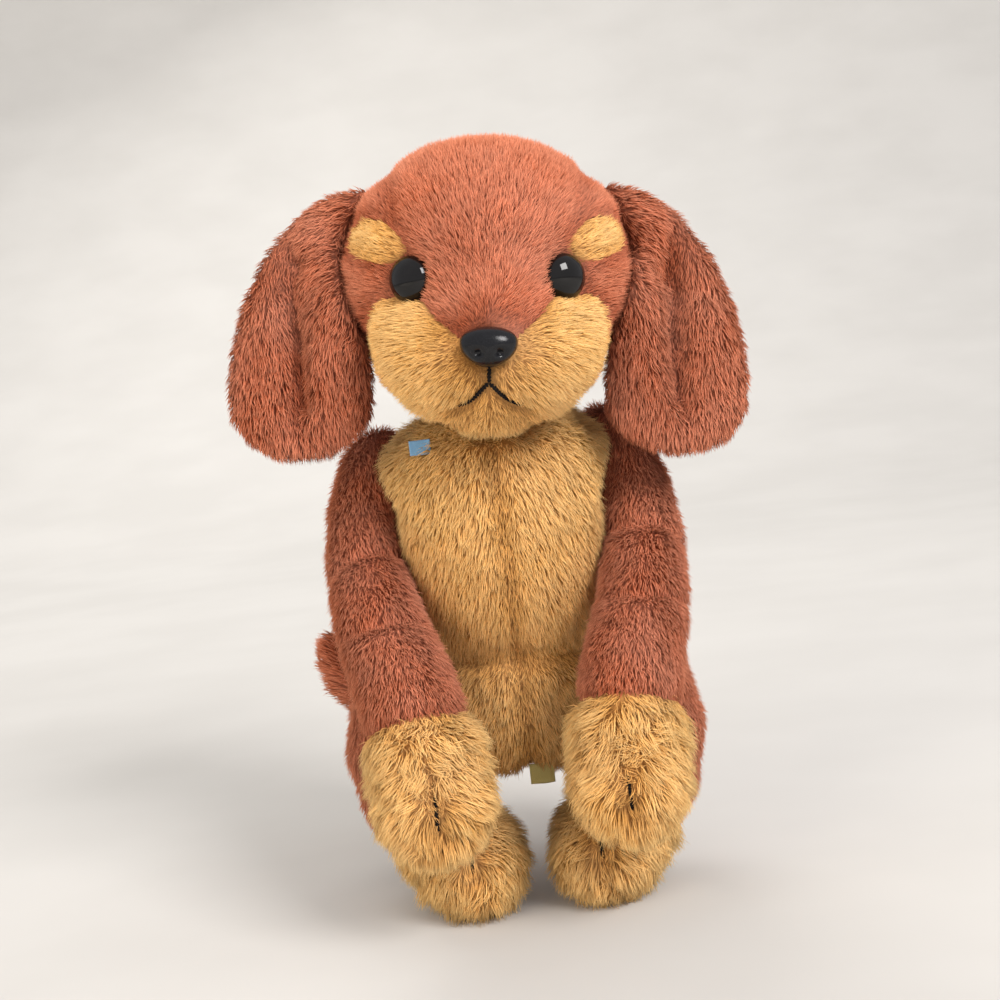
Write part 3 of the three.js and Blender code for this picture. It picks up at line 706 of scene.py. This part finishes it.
def bare_ring(off, bare, full, least):
    """No pile inside the bare radius, then from the least share at its edge to all at the full radius."""
    share = np.clip((off - bare) / (full - bare), 0, 1)
    return np.where(off < bare, 0.0, least + (1 - least) * share)


# ---------- Turned and moulded pieces ----------


def axis_frame(direction):
    """A rotation whose Z is a direction."""
    return Vector(direction).to_track_quat("Z", "Y").to_matrix()


def lathe(name, profile, origin, direction, steps=48):
    """A closed piece turned from (radius, height) points about an axis. Radius 0 closes it to a point."""
    turn = np.array(axis_frame(direction))
    points, rings = [], []
    for radius, height in profile:
        if radius == 0:
            rings.append([len(points)] * steps)
            points.append((0.0, 0.0, height))
            continue
        rings.append([len(points) + i for i in range(steps)])
        angles = 2 * math.pi * np.arange(steps) / steps
        points += [(radius * math.cos(a), radius * math.sin(a), height) for a in angles]
    faces = []
    for lower, upper in zip(rings, rings[1:]):
        for i in range(steps):
            j = (i + 1) % steps
            face = [lower[i], lower[j], upper[j], upper[i]]
            faces.append(list(dict.fromkeys(face)))
    placed = np.array(points) @ turn.T + np.array(origin)
    return link(name, mesh_from(name, placed, faces))


def rope(name, path, radius, turns_per_metre, sides=10):
    """A thread of two plies twisted together along a path, as closed tubes with rounded ends."""
    path = np.array(path, float)
    steps = np.linalg.norm(np.diff(path, axis=0), axis=1)
    reach = np.concatenate([[0], np.cumsum(steps)])
    count = max(12, int(reach[-1] / (0.35 * MM)))
    marks = np.linspace(0, reach[-1], count)
    line = np.stack([np.interp(marks, reach, path[:, k]) for k in range(3)], axis=1)
    tangent = unit(np.gradient(line, axis=0))
    side = unit(np.cross(tangent, np.array([0.0, 1.0, 0.0])) + 1e-9)
    over = np.cross(side, tangent)
    points, faces = [], []
    for ply in range(2):
        phase = 2 * math.pi * (marks * turns_per_metre + ply / 2)
        core = line + radius * 0.5 * (side * np.cos(phase)[:, None] + over * np.sin(phase)[:, None])
        taper = np.clip(np.minimum(marks, marks[-1] - marks) / (radius * 1.2), 0, 1) ** 0.5
        first = len(points)
        for i in range(count):
            for k in range(sides):
                angle = 2 * math.pi * k / sides
                ring = side[i] * math.cos(angle) + over[i] * math.sin(angle)
                points.append(core[i] + ring * radius * 0.62 * max(taper[i], 0.08))
        for i in range(count - 1):
            for k in range(sides):
                j = (k + 1) % sides
                a, b = first + i * sides, first + (i + 1) * sides
                faces.append((a + k, b + k, b + j, a + j))
        faces.append([first + k for k in range(sides)])
        faces.append([first + (count - 1) * sides + k for k in reversed(range(sides))])
    return link(name, mesh_from(name, points, faces))


DROP_REACH = 40 * MM


def onto(tree, points, away=DROP_REACH):
    """Points dropped on a surface from a distance in front of it."""
    placed = []
    for point in points:
        start = Vector((point[0], point[1] - away, point[2]))
        hit = tree.ray_cast(start, Vector(-FORWARD))[0]
        placed.append(np.array(hit if hit else point))
    return np.array(placed)


# ---------- Head ----------

HEAD_PANELS = ["forehead_gusset", "chin"]
HEAD_PANELS += [f"{side}_{part}" for part in ("head_side", "cheek", "brow_patch") for side in SIDES]

# The head is cocked, so it has its own sideways and upward directions
EYES = {side: centre(f"{side}_eye") for side in SIDES}
SIDEWAYS = unit(EYES["left"] - EYES["right"])
UPWARD = np.cross(FORWARD, SIDEWAYS)
NOSE_CENTRE = np.mean(low_high("nose"), axis=0)
SKULL = centre("head_stuffing")


def eye_axis(side):
    return unit(centre(f"{side}_eye") - centre(f"{side}_eye_washer"))


def farthest(node, origin, direction):
    """How far a CAD node reaches from an origin along a direction."""
    return float(((cad_corners(node) - origin) @ direction).max())


def about_axis(node, axis):
    """The middle of a CAD node, and each corner's height along an axis through it and distance from it."""
    points = cad_corners(node)
    middle = points.mean(0)
    height = (points - middle) @ axis
    return middle, height, np.linalg.norm(points - middle - height[:, None] * axis, axis=1)


SHANK_RADIUS = 2.1 * MM
SHANK_RIBS = 9


def build_eye(side):
    """A domed safety eye with a thin rim, on a ribbed shank, and the washer that holds it."""
    node = f"{side}_eye"
    axis = eye_axis(side)
    middle, height, spread = about_axis(node, axis)
    radius, top, bottom = spread.max(), height.max(), height.min()
    rim = height[spread > 0.97 * radius].min()
    angles = np.linspace(0.12, math.pi / 2, 18)[:-1]
    dome = [(radius * math.cos(a), rim + (top - rim) * math.sin(a)) for a in angles]
    ribs = []
    for i in range(SHANK_RIBS):
        level = bottom + 1.2 * MM + i * (rim - bottom - 3 * MM) / SHANK_RIBS
        ribs += [(SHANK_RADIUS, level), (SHANK_RADIUS * 0.86, level + 0.5 * MM)]
    profile = [(0, bottom), (SHANK_RADIUS * 0.8, bottom), *ribs, (SHANK_RADIUS, rim - 0.6 * MM)]
    profile += [(radius * 0.96, rim - 0.5 * MM), (radius * 1.0, rim - 0.1 * MM), *dome, (0, top)]
    eye = lathe(f"{side}_eye_glossy", profile, middle, axis, steps=56)
    dress(eye, "eye_plastic", "head", node)
    build_washer(f"{side}_eye_washer", axis)


def build_washer(node, axis):
    """A nylon washer with a raised inner lip."""
    middle, height, spread = about_axis(node, axis)
    low, high, outer, inner = height.min(), height.max(), spread.max(), spread.min()
    lip = inner + 0.28 * (outer - inner)
    profile = [
        (inner, low),
        (outer - 0.3 * MM, low),
        (outer, low + 0.3 * MM),
        (outer - 0.2 * MM, low + 0.75 * (high - low)),
        (lip, low + 0.7 * (high - low)),
        (lip - 0.2 * MM, high),
        (inner, high),
        (inner, low),
    ]
    dress(lathe(f"{node}_ring", profile, middle, axis), "washer_plastic", "head", node)


NOSE_DEPTH = 15.5 * MM  # from the tip of the nose back to its shank
# Shares of the nose's half width, half height and half depth
NOSTRIL = {"apart": 0.38, "below": 0.28, "wide": 0.17, "tall": 0.19, "deep": 0.34}
NOSE_GROOVE = {"wide": 0.07, "below": 0.3, "fade": 0.08, "deep": 0.08}


def nose_hollow(x, z):
    """How deep the front of the nose is pressed in at its two nostrils and its groove."""
    across, along = (abs(x) - NOSTRIL["apart"]) / NOSTRIL["wide"], (z + NOSTRIL["below"]) / NOSTRIL["tall"]
    nostril = math.exp(-(across**2 + along**2))
    below = 1 + math.exp((z + NOSE_GROOVE["below"]) / NOSE_GROOVE["fade"])
    groove = math.exp(-((x / NOSE_GROOVE["wide"]) ** 2)) / below
    return NOSTRIL["deep"] * nostril + NOSE_GROOVE["deep"] * groove


def build_nose():
    """A moulded nose: a rounded triangle, wide on top, with two nostrils and a groove below."""
    points = cad_corners("nose")
    front = points[:, 1] < points[:, 1].min() + NOSE_DEPTH
    low, high = points[front].min(0), points[front].max(0)
    middle, half = (low + high) / 2, (high - low) / 2
    rings, around = 40, 64
    vertices = []
    for i in range(rings + 1):
        polar = math.pi * i / rings
        for k in range(around):
            angle = 2 * math.pi * k / around
            across, upwards = math.cos(angle), math.sin(angle)
            narrow = 1.0 + 0.22 * upwards - 0.1 * upwards * upwards
            wide = math.copysign(abs(across) ** 0.9, across) * narrow
            tall = math.copysign(abs(upwards) ** 0.92, upwards)
            body = math.sin(polar) ** 0.85
            x, z, y = wide * body, tall * body, -math.cos(polar)
            hollow = nose_hollow(x, z) if y < 0 else 0.0
            vertices.append((x * half[0], (y + hollow) * half[1], z * half[2]))
    faces = []
    for i in range(rings):
        for k in range(around):
            j = (k + 1) % around
            faces.append((i * around + k, i * around + j, (i + 1) * around + j, (i + 1) * around + k))
    turn = np.stack([SIDEWAYS, -FORWARD, UPWARD], axis=1)
    placed = np.array(vertices) @ turn.T + middle
    nose = link("nose_moulded", mesh_from("nose_moulded", placed, faces))
    weld = nose.modifiers.new("weld", "WELD")
    weld.merge_threshold = 0.02 * MM
    settle_modifiers(nose)
    dress(nose, "nose_plastic", "head", "nose")
    build_washer("nose_washer", FORWARD)


WING_SHARES = (0.2, 0.4, 0.65, 0.95)  # where each wing of the mouth is read, from its fork to its end
WING_BAND = 0.13


def mouth_lines():
    """The paths of the mouth, read off its CAD thread: down from the nose, then out to each side."""
    points = cad_corners("mouth_thread")
    middle = points.mean(0)
    across, upwards = (points - middle) @ SIDEWAYS, (points - middle) @ UPWARD
    top = upwards.max()
    stem = np.median(across[upwards > top - 3 * MM])
    wings = abs(across - stem) > 2 * MM
    fork = upwards[~wings].min() + 3 * MM

    def at(sideways, up):
        return middle + SIDEWAYS * sideways + UPWARD * up

    lines = [[at(stem, top), at(stem, (top + fork) / 2), at(stem, fork)]]
    for side in SIDES:
        reach = (OUT[side] * (across - stem)).max()
        path = [at(stem, fork)]
        for share in WING_SHARES:
            place = stem + OUT[side] * share * reach
            beside = wings & (abs(across - place) < WING_BAND * reach)
            path.append(at(place, upwards[beside].mean()))
        lines.append(path)
    return lines


def smooth_line(points, steps=24):
    """A smooth line along three or more points."""
    points = np.array(points, float)
    knots = np.linspace(0, 1, len(points))
    order = min(3, len(points) - 1)
    fine = np.linspace(0, 1, steps)
    return np.stack([np.polyval(np.polyfit(knots, points[:, k], order), fine) for k in range(3)], axis=1)


PLUG = {"radius": 10 * MM, "depth": 9 * MM, "bevel": 1 * MM, "below": 6 * MM}


def eye_plug(side):
    """A short plug in the hollow behind an eye, so that the cloth closes under it."""
    axis = eye_axis(side)
    front = EYES[side] + axis * (farthest(f"{side}_eye", EYES[side], axis) - PLUG["below"])
    radius, depth = PLUG["radius"], PLUG["depth"]
    profile = [(0, -depth), (radius, -depth), (radius, -PLUG["bevel"]), (0, 0)]
    return lathe("plug", profile, front, axis, steps=24)


# The bare radius, the radius at which the pile has its full length, and its least share between them
EYE_RING = (9 * MM, 14 * MM, 0.35)
NOSE_RING = (11.5 * MM, 27 * MM, 0.35)


def head_trim(points, from_mouth):
    """The share of the pile's length that is left round the eyes, the nose and the mouth; the same share paints
    shade on the fibres there.
    """
    factor = 0.3 + 0.7 * rising(from_mouth(points), 0.8 * MM, 5 * MM)
    for side in SIDES:
        axis = eye_axis(side)
        away = points - EYES[side]
        off = np.linalg.norm(away - (away @ axis)[:, None] * axis, axis=1)
        ahead = away @ axis > -8 * MM
        factor *= np.where(ahead, bare_ring(off, *EYE_RING), 1)
    low, high = low_high("nose")
    away = points - NOSE_CENTRE
    off = np.hypot(away @ SIDEWAYS, away @ UPWARD * (high[0] - low[0]) / (high[2] - low[2]))
    beside = points[:, 1] < NOSE_CENTRE[1] + 6 * MM
    return factor * np.where(beside, bare_ring(off, *NOSE_RING), 1)


LIP_DEPTH = 2.2 * MM
LIP_WIDTH = 5 * MM
MOUTH_THREAD = {"radius": 0.9 * MM, "proud": 1.6 * MM}
THREAD_TWIST = 320  # turns on a metre of thread


def build_head():
    plugs = [eye_plug(side) for side in SIDES]
    lips = (along_line(cad_corners("mouth_thread")), LIP_DEPTH, LIP_WIDTH)
    form, panels = soft_form(
        "head_form",
        HEAD_PANELS,
        ["head_stuffing"],
        plugs=[plug.data for plug in plugs],
        seam=0.7 * MM,
        creases=[lips],
    )
    for plug in plugs:
        bpy.data.objects.remove(plug)
    tree = surface_tree(form.data)
    lines = [onto(tree, smooth_line(line)) for line in mouth_lines()]
    from_mouth = along_line(np.concatenate(lines))

    def trim(points):
        return head_trim(points, from_mouth)

    def comb(points, facing, node):
        away = points - NOSE_CENTRE
        across = (points - SKULL) @ SIDEWAYS
        sweep = unit(away)
        down = -UPWARD
        if node in ("forehead_gusset", "left_head_side", "right_head_side"):
            field = sweep * 0.8 + UPWARD * 0.15 - FORWARD * 0.4
        elif "brow" in node:
            field = SIDEWAYS * np.sign(across)[:, None] + UPWARD * 0.5
        elif "cheek" in node:
            field = sweep * 0.9 + down * 0.35 + SIDEWAYS * np.sign(across)[:, None] * 0.4
        else:
            field = down + SIDEWAYS * np.sign(across)[:, None] * 0.3
        return unruly(field)

    short = Pile(length=6.3, density=1.9, lift=0.58, width=0.36, clump=2.6, pull=0.25, scatter=0.34)
    styles = {node: short for node in HEAD_PANELS}
    for side in SIDES:
        styles[f"{side}_cheek"] = Pile(length=8.0, density=1.9, lift=0.52, width=0.37, clump=3.0, pull=0.35)
        styles[f"{side}_brow_patch"] = Pile(length=7.5, density=1.9, lift=0.52, width=0.37, clump=2.8)
    styles["chin"] = Pile(length=6.0, density=1.9, lift=0.5, width=0.37, clump=2.8, pull=0.3)
    grow_pile(form, panels, "head", styles, comb, trim)
    for side in SIDES:
        build_eye(side)
    build_nose()
    radius, proud = MOUTH_THREAD["radius"], MOUTH_THREAD["proud"]
    threads = [rope("mouth_part", line + FORWARD * proud, radius, THREAD_TWIST) for line in lines]
    stitching = merged("mouth_stitching", [thread.data for thread in threads])
    for thread in threads:
        bpy.data.objects.remove(thread)
    dress(stitching, "black_thread", "head", "mouth_thread")


# ---------- Ears, limbs, tail and body ----------


BEND_FROM, BEND_TO = 0.55, 1.45  # where a limb's comb turns, in lengths from its start to its bend


def along_limb(points, start, bend_at, end):
    """The direction of a bent limb at each point: from its start to its bend, then on to its end."""
    first, second = unit(bend_at - start), unit(end - bend_at)
    along = ((points - start) @ first) / np.linalg.norm(bend_at - start)
    share = rising(along, BEND_FROM, BEND_TO)[:, None]
    return unit(first * (1 - share) + second * share)


def joint_place(child):
    joint = next(j for j in frame["joints"] if j["child"] == child)
    return np.array(joint["pos_m"])


EAR_FOLD = {"from": 0.25, "to": 0.8, "nearer": 2 * MM, "depth": 6 * MM, "width": 11 * MM}
EAR_BEND_BELOW = 35 * MM  # how far below its root an ear hangs straight down


def fold_line(side, node):
    """The valley down the front of an ear: along the middle of the flap, a little nearer the head."""
    points = cad_corners(node)
    low, high = points.min(0), points.max(0)
    line = []
    for share in np.linspace(EAR_FOLD["from"], EAR_FOLD["to"], 24):
        level = high[2] - share * (high[2] - low[2])
        band = points[abs(points[:, 2] - level) < 12 * MM]
        middle = (band[:, 0].min() + band[:, 0].max()) / 2 - OUT[side] * EAR_FOLD["nearer"]
        line.append((middle, low[1], level))
    return line


def build_ear(side):
    body = f"{side}_ear"
    nodes = [f"{side}_ear_outer", f"{side}_ear_lining"]
    valley = onto(surface_tree(cad_mesh(nodes[0])), fold_line(side, nodes[0]))
    from_fold = along_line(valley, steep_side=np.array([-OUT[side], 0, 0]))
    form, panels = soft_form(
        body + "_form",
        nodes,
        [],
        voxel=3 * MM,
        smoothing=3,
        inset=0,
        seam=1 * MM,
        creases=[(from_fold, EAR_FOLD["depth"], EAR_FOLD["width"])],
    )
    root = joint_place(body)
    low, high = low_high(nodes[0])
    edge = high[0] if side == "left" else low[0]
    outer = np.array([edge, (low[1] + high[1]) / 2, root[2] - EAR_BEND_BELOW])
    bend = root * 0.45 + outer * 0.55
    tip = np.array([(low[0] + high[0]) / 2, low[1], low[2]])

    def comb(points, facing, node):
        return unruly(along_limb(points, root, bend, tip))

    # Shorter pile down the fold, painted darker by the same share: painted shade in the crease
    def trim(points):
        return 0.35 + 0.65 * rising(from_fold(points), 1 * MM, 9 * MM)

    style = Pile(length=8.5, density=1.15, lift=0.42, width=0.46, clump=3.6, pull=0.4)
    grow_pile(form, panels, body, {node: style for node in nodes}, comb, trim)


TOE_THREAD = {"radius": 0.8 * MM, "proud": 1 * MM}
TOE_SPREAD = 30 * MM  # how far from the toes the pile is combed away from them


def build_limb(side, kind, upper, lower, stitch, toe_bend, styles, creased=()):
    """A leg: its sleeve and its paw, creased across at shares of the way from its joint to its paw."""
    body = f"{side}_{kind}"
    nodes = [f"{side}_{upper}", f"{side}_{lower}"]
    start = joint_place(body)
    cuff = centre(nodes[1])
    down = unit(cuff - start)
    thread_node = f"{side}_{stitch}"
    points = cad_corners(thread_node)
    creases = [(along_line(points), 2.5 * MM, 5 * MM)]
    for share, slant in creased:
        creases.append((across_plane(start + (cuff - start) * share, down + UP * slant), 3 * MM, 4 * MM))
    form, panels = soft_form(body + "_form", nodes, [body + "_stuffing"], creases=creases)
    low, high = low_high(nodes[1])
    end = (low + high) / 2 + toe_bend
    top, bottom = points[points[:, 2].argmax()], points[points[:, 2].argmin()]
    tree = surface_tree(form.data)
    line = onto(tree, [top + (bottom - top) * t for t in np.linspace(0, 1, 16)], 20 * MM)

    from_toes = along_line(line)

    # Shorter pile along the toe stitch, painted darker by the same share: painted shade
    def trim(places):
        return 0.4 + 0.6 * rising(from_toes(places), 0.5 * MM, 7 * MM)

    def comb(places, facing, node):
        field = along_limb(places, start, cuff, end)
        if node == nodes[1]:
            away = places - line.mean(0)
            nearby = np.exp(-((np.linalg.norm(away, axis=1) / TOE_SPREAD) ** 2))
            field = field + unit(away) * 0.9 * nearby[:, None]
        return unruly(field, 0.06)

    grow_pile(form, panels, body, dict(zip(nodes, styles)), comb, trim)
    path = line + FORWARD * TOE_THREAD["proud"]
    thread = rope(f"{thread_node}ing", path, TOE_THREAD["radius"], THREAD_TWIST)
    dress(thread, "black_thread", body, thread_node)


def build_tail():
    form, panels = soft_form("tail_form", ["tail_cover"], ["tail_stuffing"])
    start = joint_place("tail")
    low, high = low_high("tail_cover")
    radius = 14 * MM
    bend = np.array([(low[0] + high[0]) / 2, high[1] - radius, low[2] + radius])
    end = np.array([low[0], (low[1] + high[1]) / 2, high[2]])

    def comb(points, facing, node):
        return along_limb(points, start, bend, end)

    style = Pile(length=9, density=0.95, lift=0.45, width=0.55, clump=4, pull=0.45)
    grow_pile(form, panels, "tail", {"tail_cover": style}, comb)


WAIST = 116 * MM  # where a hand holds the body, between the chest and the belly


def build_torso():
    nodes = [f"{side}_{part}" for part in ("chest_panel", "back_panel") for side in SIDES]
    waist = across_plane(np.array([0, 0, WAIST]), UP)
    form, panels = soft_form("torso_form", nodes, ["torso_stuffing"], creases=[(waist, 3.5 * MM, 7 * MM)])

    # Shorter pile at the waist crease, painted darker by the same share: painted shade
    def trim(points):
        return 1 - 0.55 * np.exp(-(((waist(points) + 2 * MM) / (5 * MM)) ** 2))

    def comb(points, facing, node):
        outward = np.sign(points[:, 0])[:, None] * np.array([0.25, 0, 0])
        return unruly(-UP + outward)

    chest = Pile(length=9.0, density=1.4, lift=0.45, width=0.42, clump=3.6, pull=0.42)
    back = Pile(length=8.5, density=0.9, lift=0.45, width=0.52, clump=3.8, pull=0.4)
    styles = {node: (chest if "chest" in node else back) for node in nodes}
    grow_pile(form, panels, "torso", styles, comb, trim)


def build_neck():
    form, panels = soft_form("neck_form", ["neck_cover"], ["neck_stuffing"])

    def comb(points, facing, node):
        return -UP + np.zeros_like(points)

    style = Pile(length=9, density=1.0, lift=0.5, width=0.5)
    grow_pile(form, panels, "neck", {"neck_cover": style}, comb)


FILLING_DEPTH = 6.5 * MM  # how far inside the CAD filling the fibre starts, clear of seams and creases


def build_filling(node, body):
    """Loose polyester fibre: the filling's form, a little smaller and lumpy."""
    obj = merged(node + "_fibre", [cad_mesh(node)])
    remesh(obj, voxel=4 * MM, smoothing=3)
    points = corners(obj.data)
    lumps = 0.9 * MM * smooth_noise(points, 11 * MM, 3) + 0.4 * MM * smooth_noise(points, 5 * MM, 4)
    depth = FILLING_DEPTH + lumps
    points -= vertex_normals(obj.data) * depth[:, None]
    move_corners(obj.data, points)
    dress(obj, "fibre_filling", body, node)


RIBBON = {"half": 0.3 * MM, "hem": 0.25 * MM, "ripple": 0.3 * MM}


def build_label(node, name, slot, curl):
    """A blank woven label: a folded ribbon with a slight curl and hemmed edges."""
    low, high = low_high(node)
    columns, rows = 14, 12
    points = []
    for layer in (0, 1):
        for r in range(rows + 1):
            for c in range(columns + 1):
                across, down = c / columns, r / rows
                ripple = RIBBON["ripple"] * math.sin(7 * across + 3 * down)
                wave = curl * math.sin(math.pi * across) * down + ripple
                hem = RIBBON["hem"] if min(c, columns - c) <= 1 or r >= rows - 1 else 0.0
                depth = (low[1] + high[1]) / 2 - wave + (1 if layer else -1) * (RIBBON["half"] + hem)
                place, level = low[0] + across * (high[0] - low[0]), high[2] - down * (high[2] - low[2])
                points.append((place, depth, level))
    wide = columns + 1
    sheet = wide * (rows + 1)
    faces = []
    for r in range(rows):
        for c in range(columns):
            a = r * wide + c
            faces.append((a, a + 1, a + 1 + wide, a + wide))
            faces.append((sheet + a, sheet + a + wide, sheet + a + 1 + wide, sheet + a + 1))
    rim = list(range(columns)) + [columns + r * wide for r in range(rows)]
    rim += [rows * wide + columns - c for c in range(columns)] + [(rows - r) * wide for r in range(rows)]
    for i, a in enumerate(rim):
        b = rim[(i + 1) % len(rim)]
        faces.append((b, a, sheet + a, sheet + b))
    dress(link(name, mesh_from(name, points, faces)), slot, "torso", node)


ELBOW_CREASES = ((0.3, 0.3), (0.52, -0.2))  # how far down the sleeve each one is, and its slant


def build_puppy():
    build_head()
    build_torso()
    build_neck()
    sleeve = Pile(length=7.5, density=1.3, lift=0.45, width=0.43, clump=3.2, pull=0.35)
    paw = Pile(length=12.5, density=1.3, lift=0.48, width=0.46, clump=5.5, pull=0.6, scatter=0.36)
    for side in SIDES:
        build_ear(side)
        build_limb(
            side,
            "foreleg",
            upper="foreleg_sleeve",
            lower="forepaw",
            stitch="forepaw_toe_stitch",
            toe_bend=np.array([0, 0, -30 * MM]),
            styles=(sleeve, paw),
            creased=ELBOW_CREASES,
        )
        build_limb(
            side,
            "hind_leg",
            upper="thigh",
            lower="hind_foot",
            stitch="hind_toe_stitch",
            toe_bend=np.array([0, -30 * MM, -6 * MM]),
            styles=(sleeve, paw),
        )
    build_tail()
    for body, nodes in frame["record"]["behaviour"]["bodies"].items():
        for node in nodes:
            if "stuffing" in node:
                build_filling(node, body)
    build_label("care_label", "care_label_ribbon", "label_fabric", 0.8 * MM)
    build_label("neck_tag", "neck_tag_ribbon", "tag_fabric", 1.2 * MM)


# ---------- Stage ----------

LIT_POINT = (0, 0, 0.19)


def build_stage():
    """A paper floor that sweeps up into a wall behind the puppy, an even sky and three soft lamps."""
    depth, radius, reach = 1.4, 1.2, 6.0
    sweep = [(-reach, 0.0), (depth, 0.0)]
    for angle in np.linspace(0.1, math.pi / 2, 16):
        sweep.append((depth + radius * math.sin(angle), radius - radius * math.cos(angle)))
    sweep.append((depth + radius, reach))
    points = [(x, y, z - 0.5 * MM) for y, z in sweep for x in (-reach, reach)]
    faces = [(2 * i, 2 * i + 1, 2 * i + 3, 2 * i + 2) for i in range(len(sweep) - 1)]
    floor = link("floor", mesh_from("floor", points, faces))
    material, shader, add, wire = new_material("floor_paper")
    paper = add("ShaderNodeTexNoise", Scale=60.0, Detail=3.0)
    tones = ramp(add, [(0.35, (0.55, 0.535, 0.51)), (0.65, (0.58, 0.565, 0.54))])
    wire(paper.outputs["Fac"], tones.inputs["Fac"])
    wire(tones.outputs["Color"], shader.inputs["Base Color"])
    set_inputs(shader, Roughness=0.9)
    floor.data.materials.append(material)

    world = bpy.data.worlds.new("studio")
    bpy.context.scene.world = world
    world.use_nodes = True
    set_inputs(world.node_tree.nodes["Background"], Color=(0.97, 0.97, 1.0, 1), Strength=0.7)
    for name, place, size, power, colour in (
        ("window", (1.7, -2.0, 2.0), 1.3, 98, (1.0, 0.97, 0.95)),
        ("fill", (-2.0, -1.8, 1.0), 1.8, 42, (1.0, 0.91, 0.76)),
        ("rim", (-0.6, 1.8, 1.9), 1.4, 30, (1.0, 0.98, 0.95)),
    ):
        light = bpy.data.lights.new(name, "AREA")
        light.size = size
        light.energy = power
        light.color = colour
        lamp = link(name, light)
        lamp.visible_glossy = name == "window"  # only the window shows in the eyes and the nose
        lamp.location = place
        lamp.rotation_mode = "QUATERNION"
        lamp.rotation_quaternion = (Vector(LIT_POINT) - Vector(place)).to_track_quat("-Z", "Y")


def build_camera():
    """The camera stands in front of the puppy, a little above its middle, and is rolled to one side."""
    target = np.array([-0.001, 0.0, 0.190])
    distance = 0.668
    rise, lean, half_view = math.radians(6), math.radians(-6.5), math.radians(20)
    back = np.array([0, -math.cos(rise), math.sin(rise)])
    data = bpy.data.cameras.new("camera")
    data.sensor_width = 36
    data.lens = data.sensor_width / 2 / math.tan(half_view)
    data.clip_start, data.clip_end = 0.01, 20
    camera = link("camera", data)
    facing = Vector(-back).to_track_quat("-Z", "Y").to_matrix()
    camera.matrix_world = Matrix.Translation(Vector(target + back * distance)) @ (
        facing @ Matrix.Rotation(lean, 3, "Z")
    ).to_4x4()
    bpy.context.scene.camera = camera
    bpy.context.scene.view_settings.view_transform = "Standard"


build_puppy()
build_stage()
build_camera()
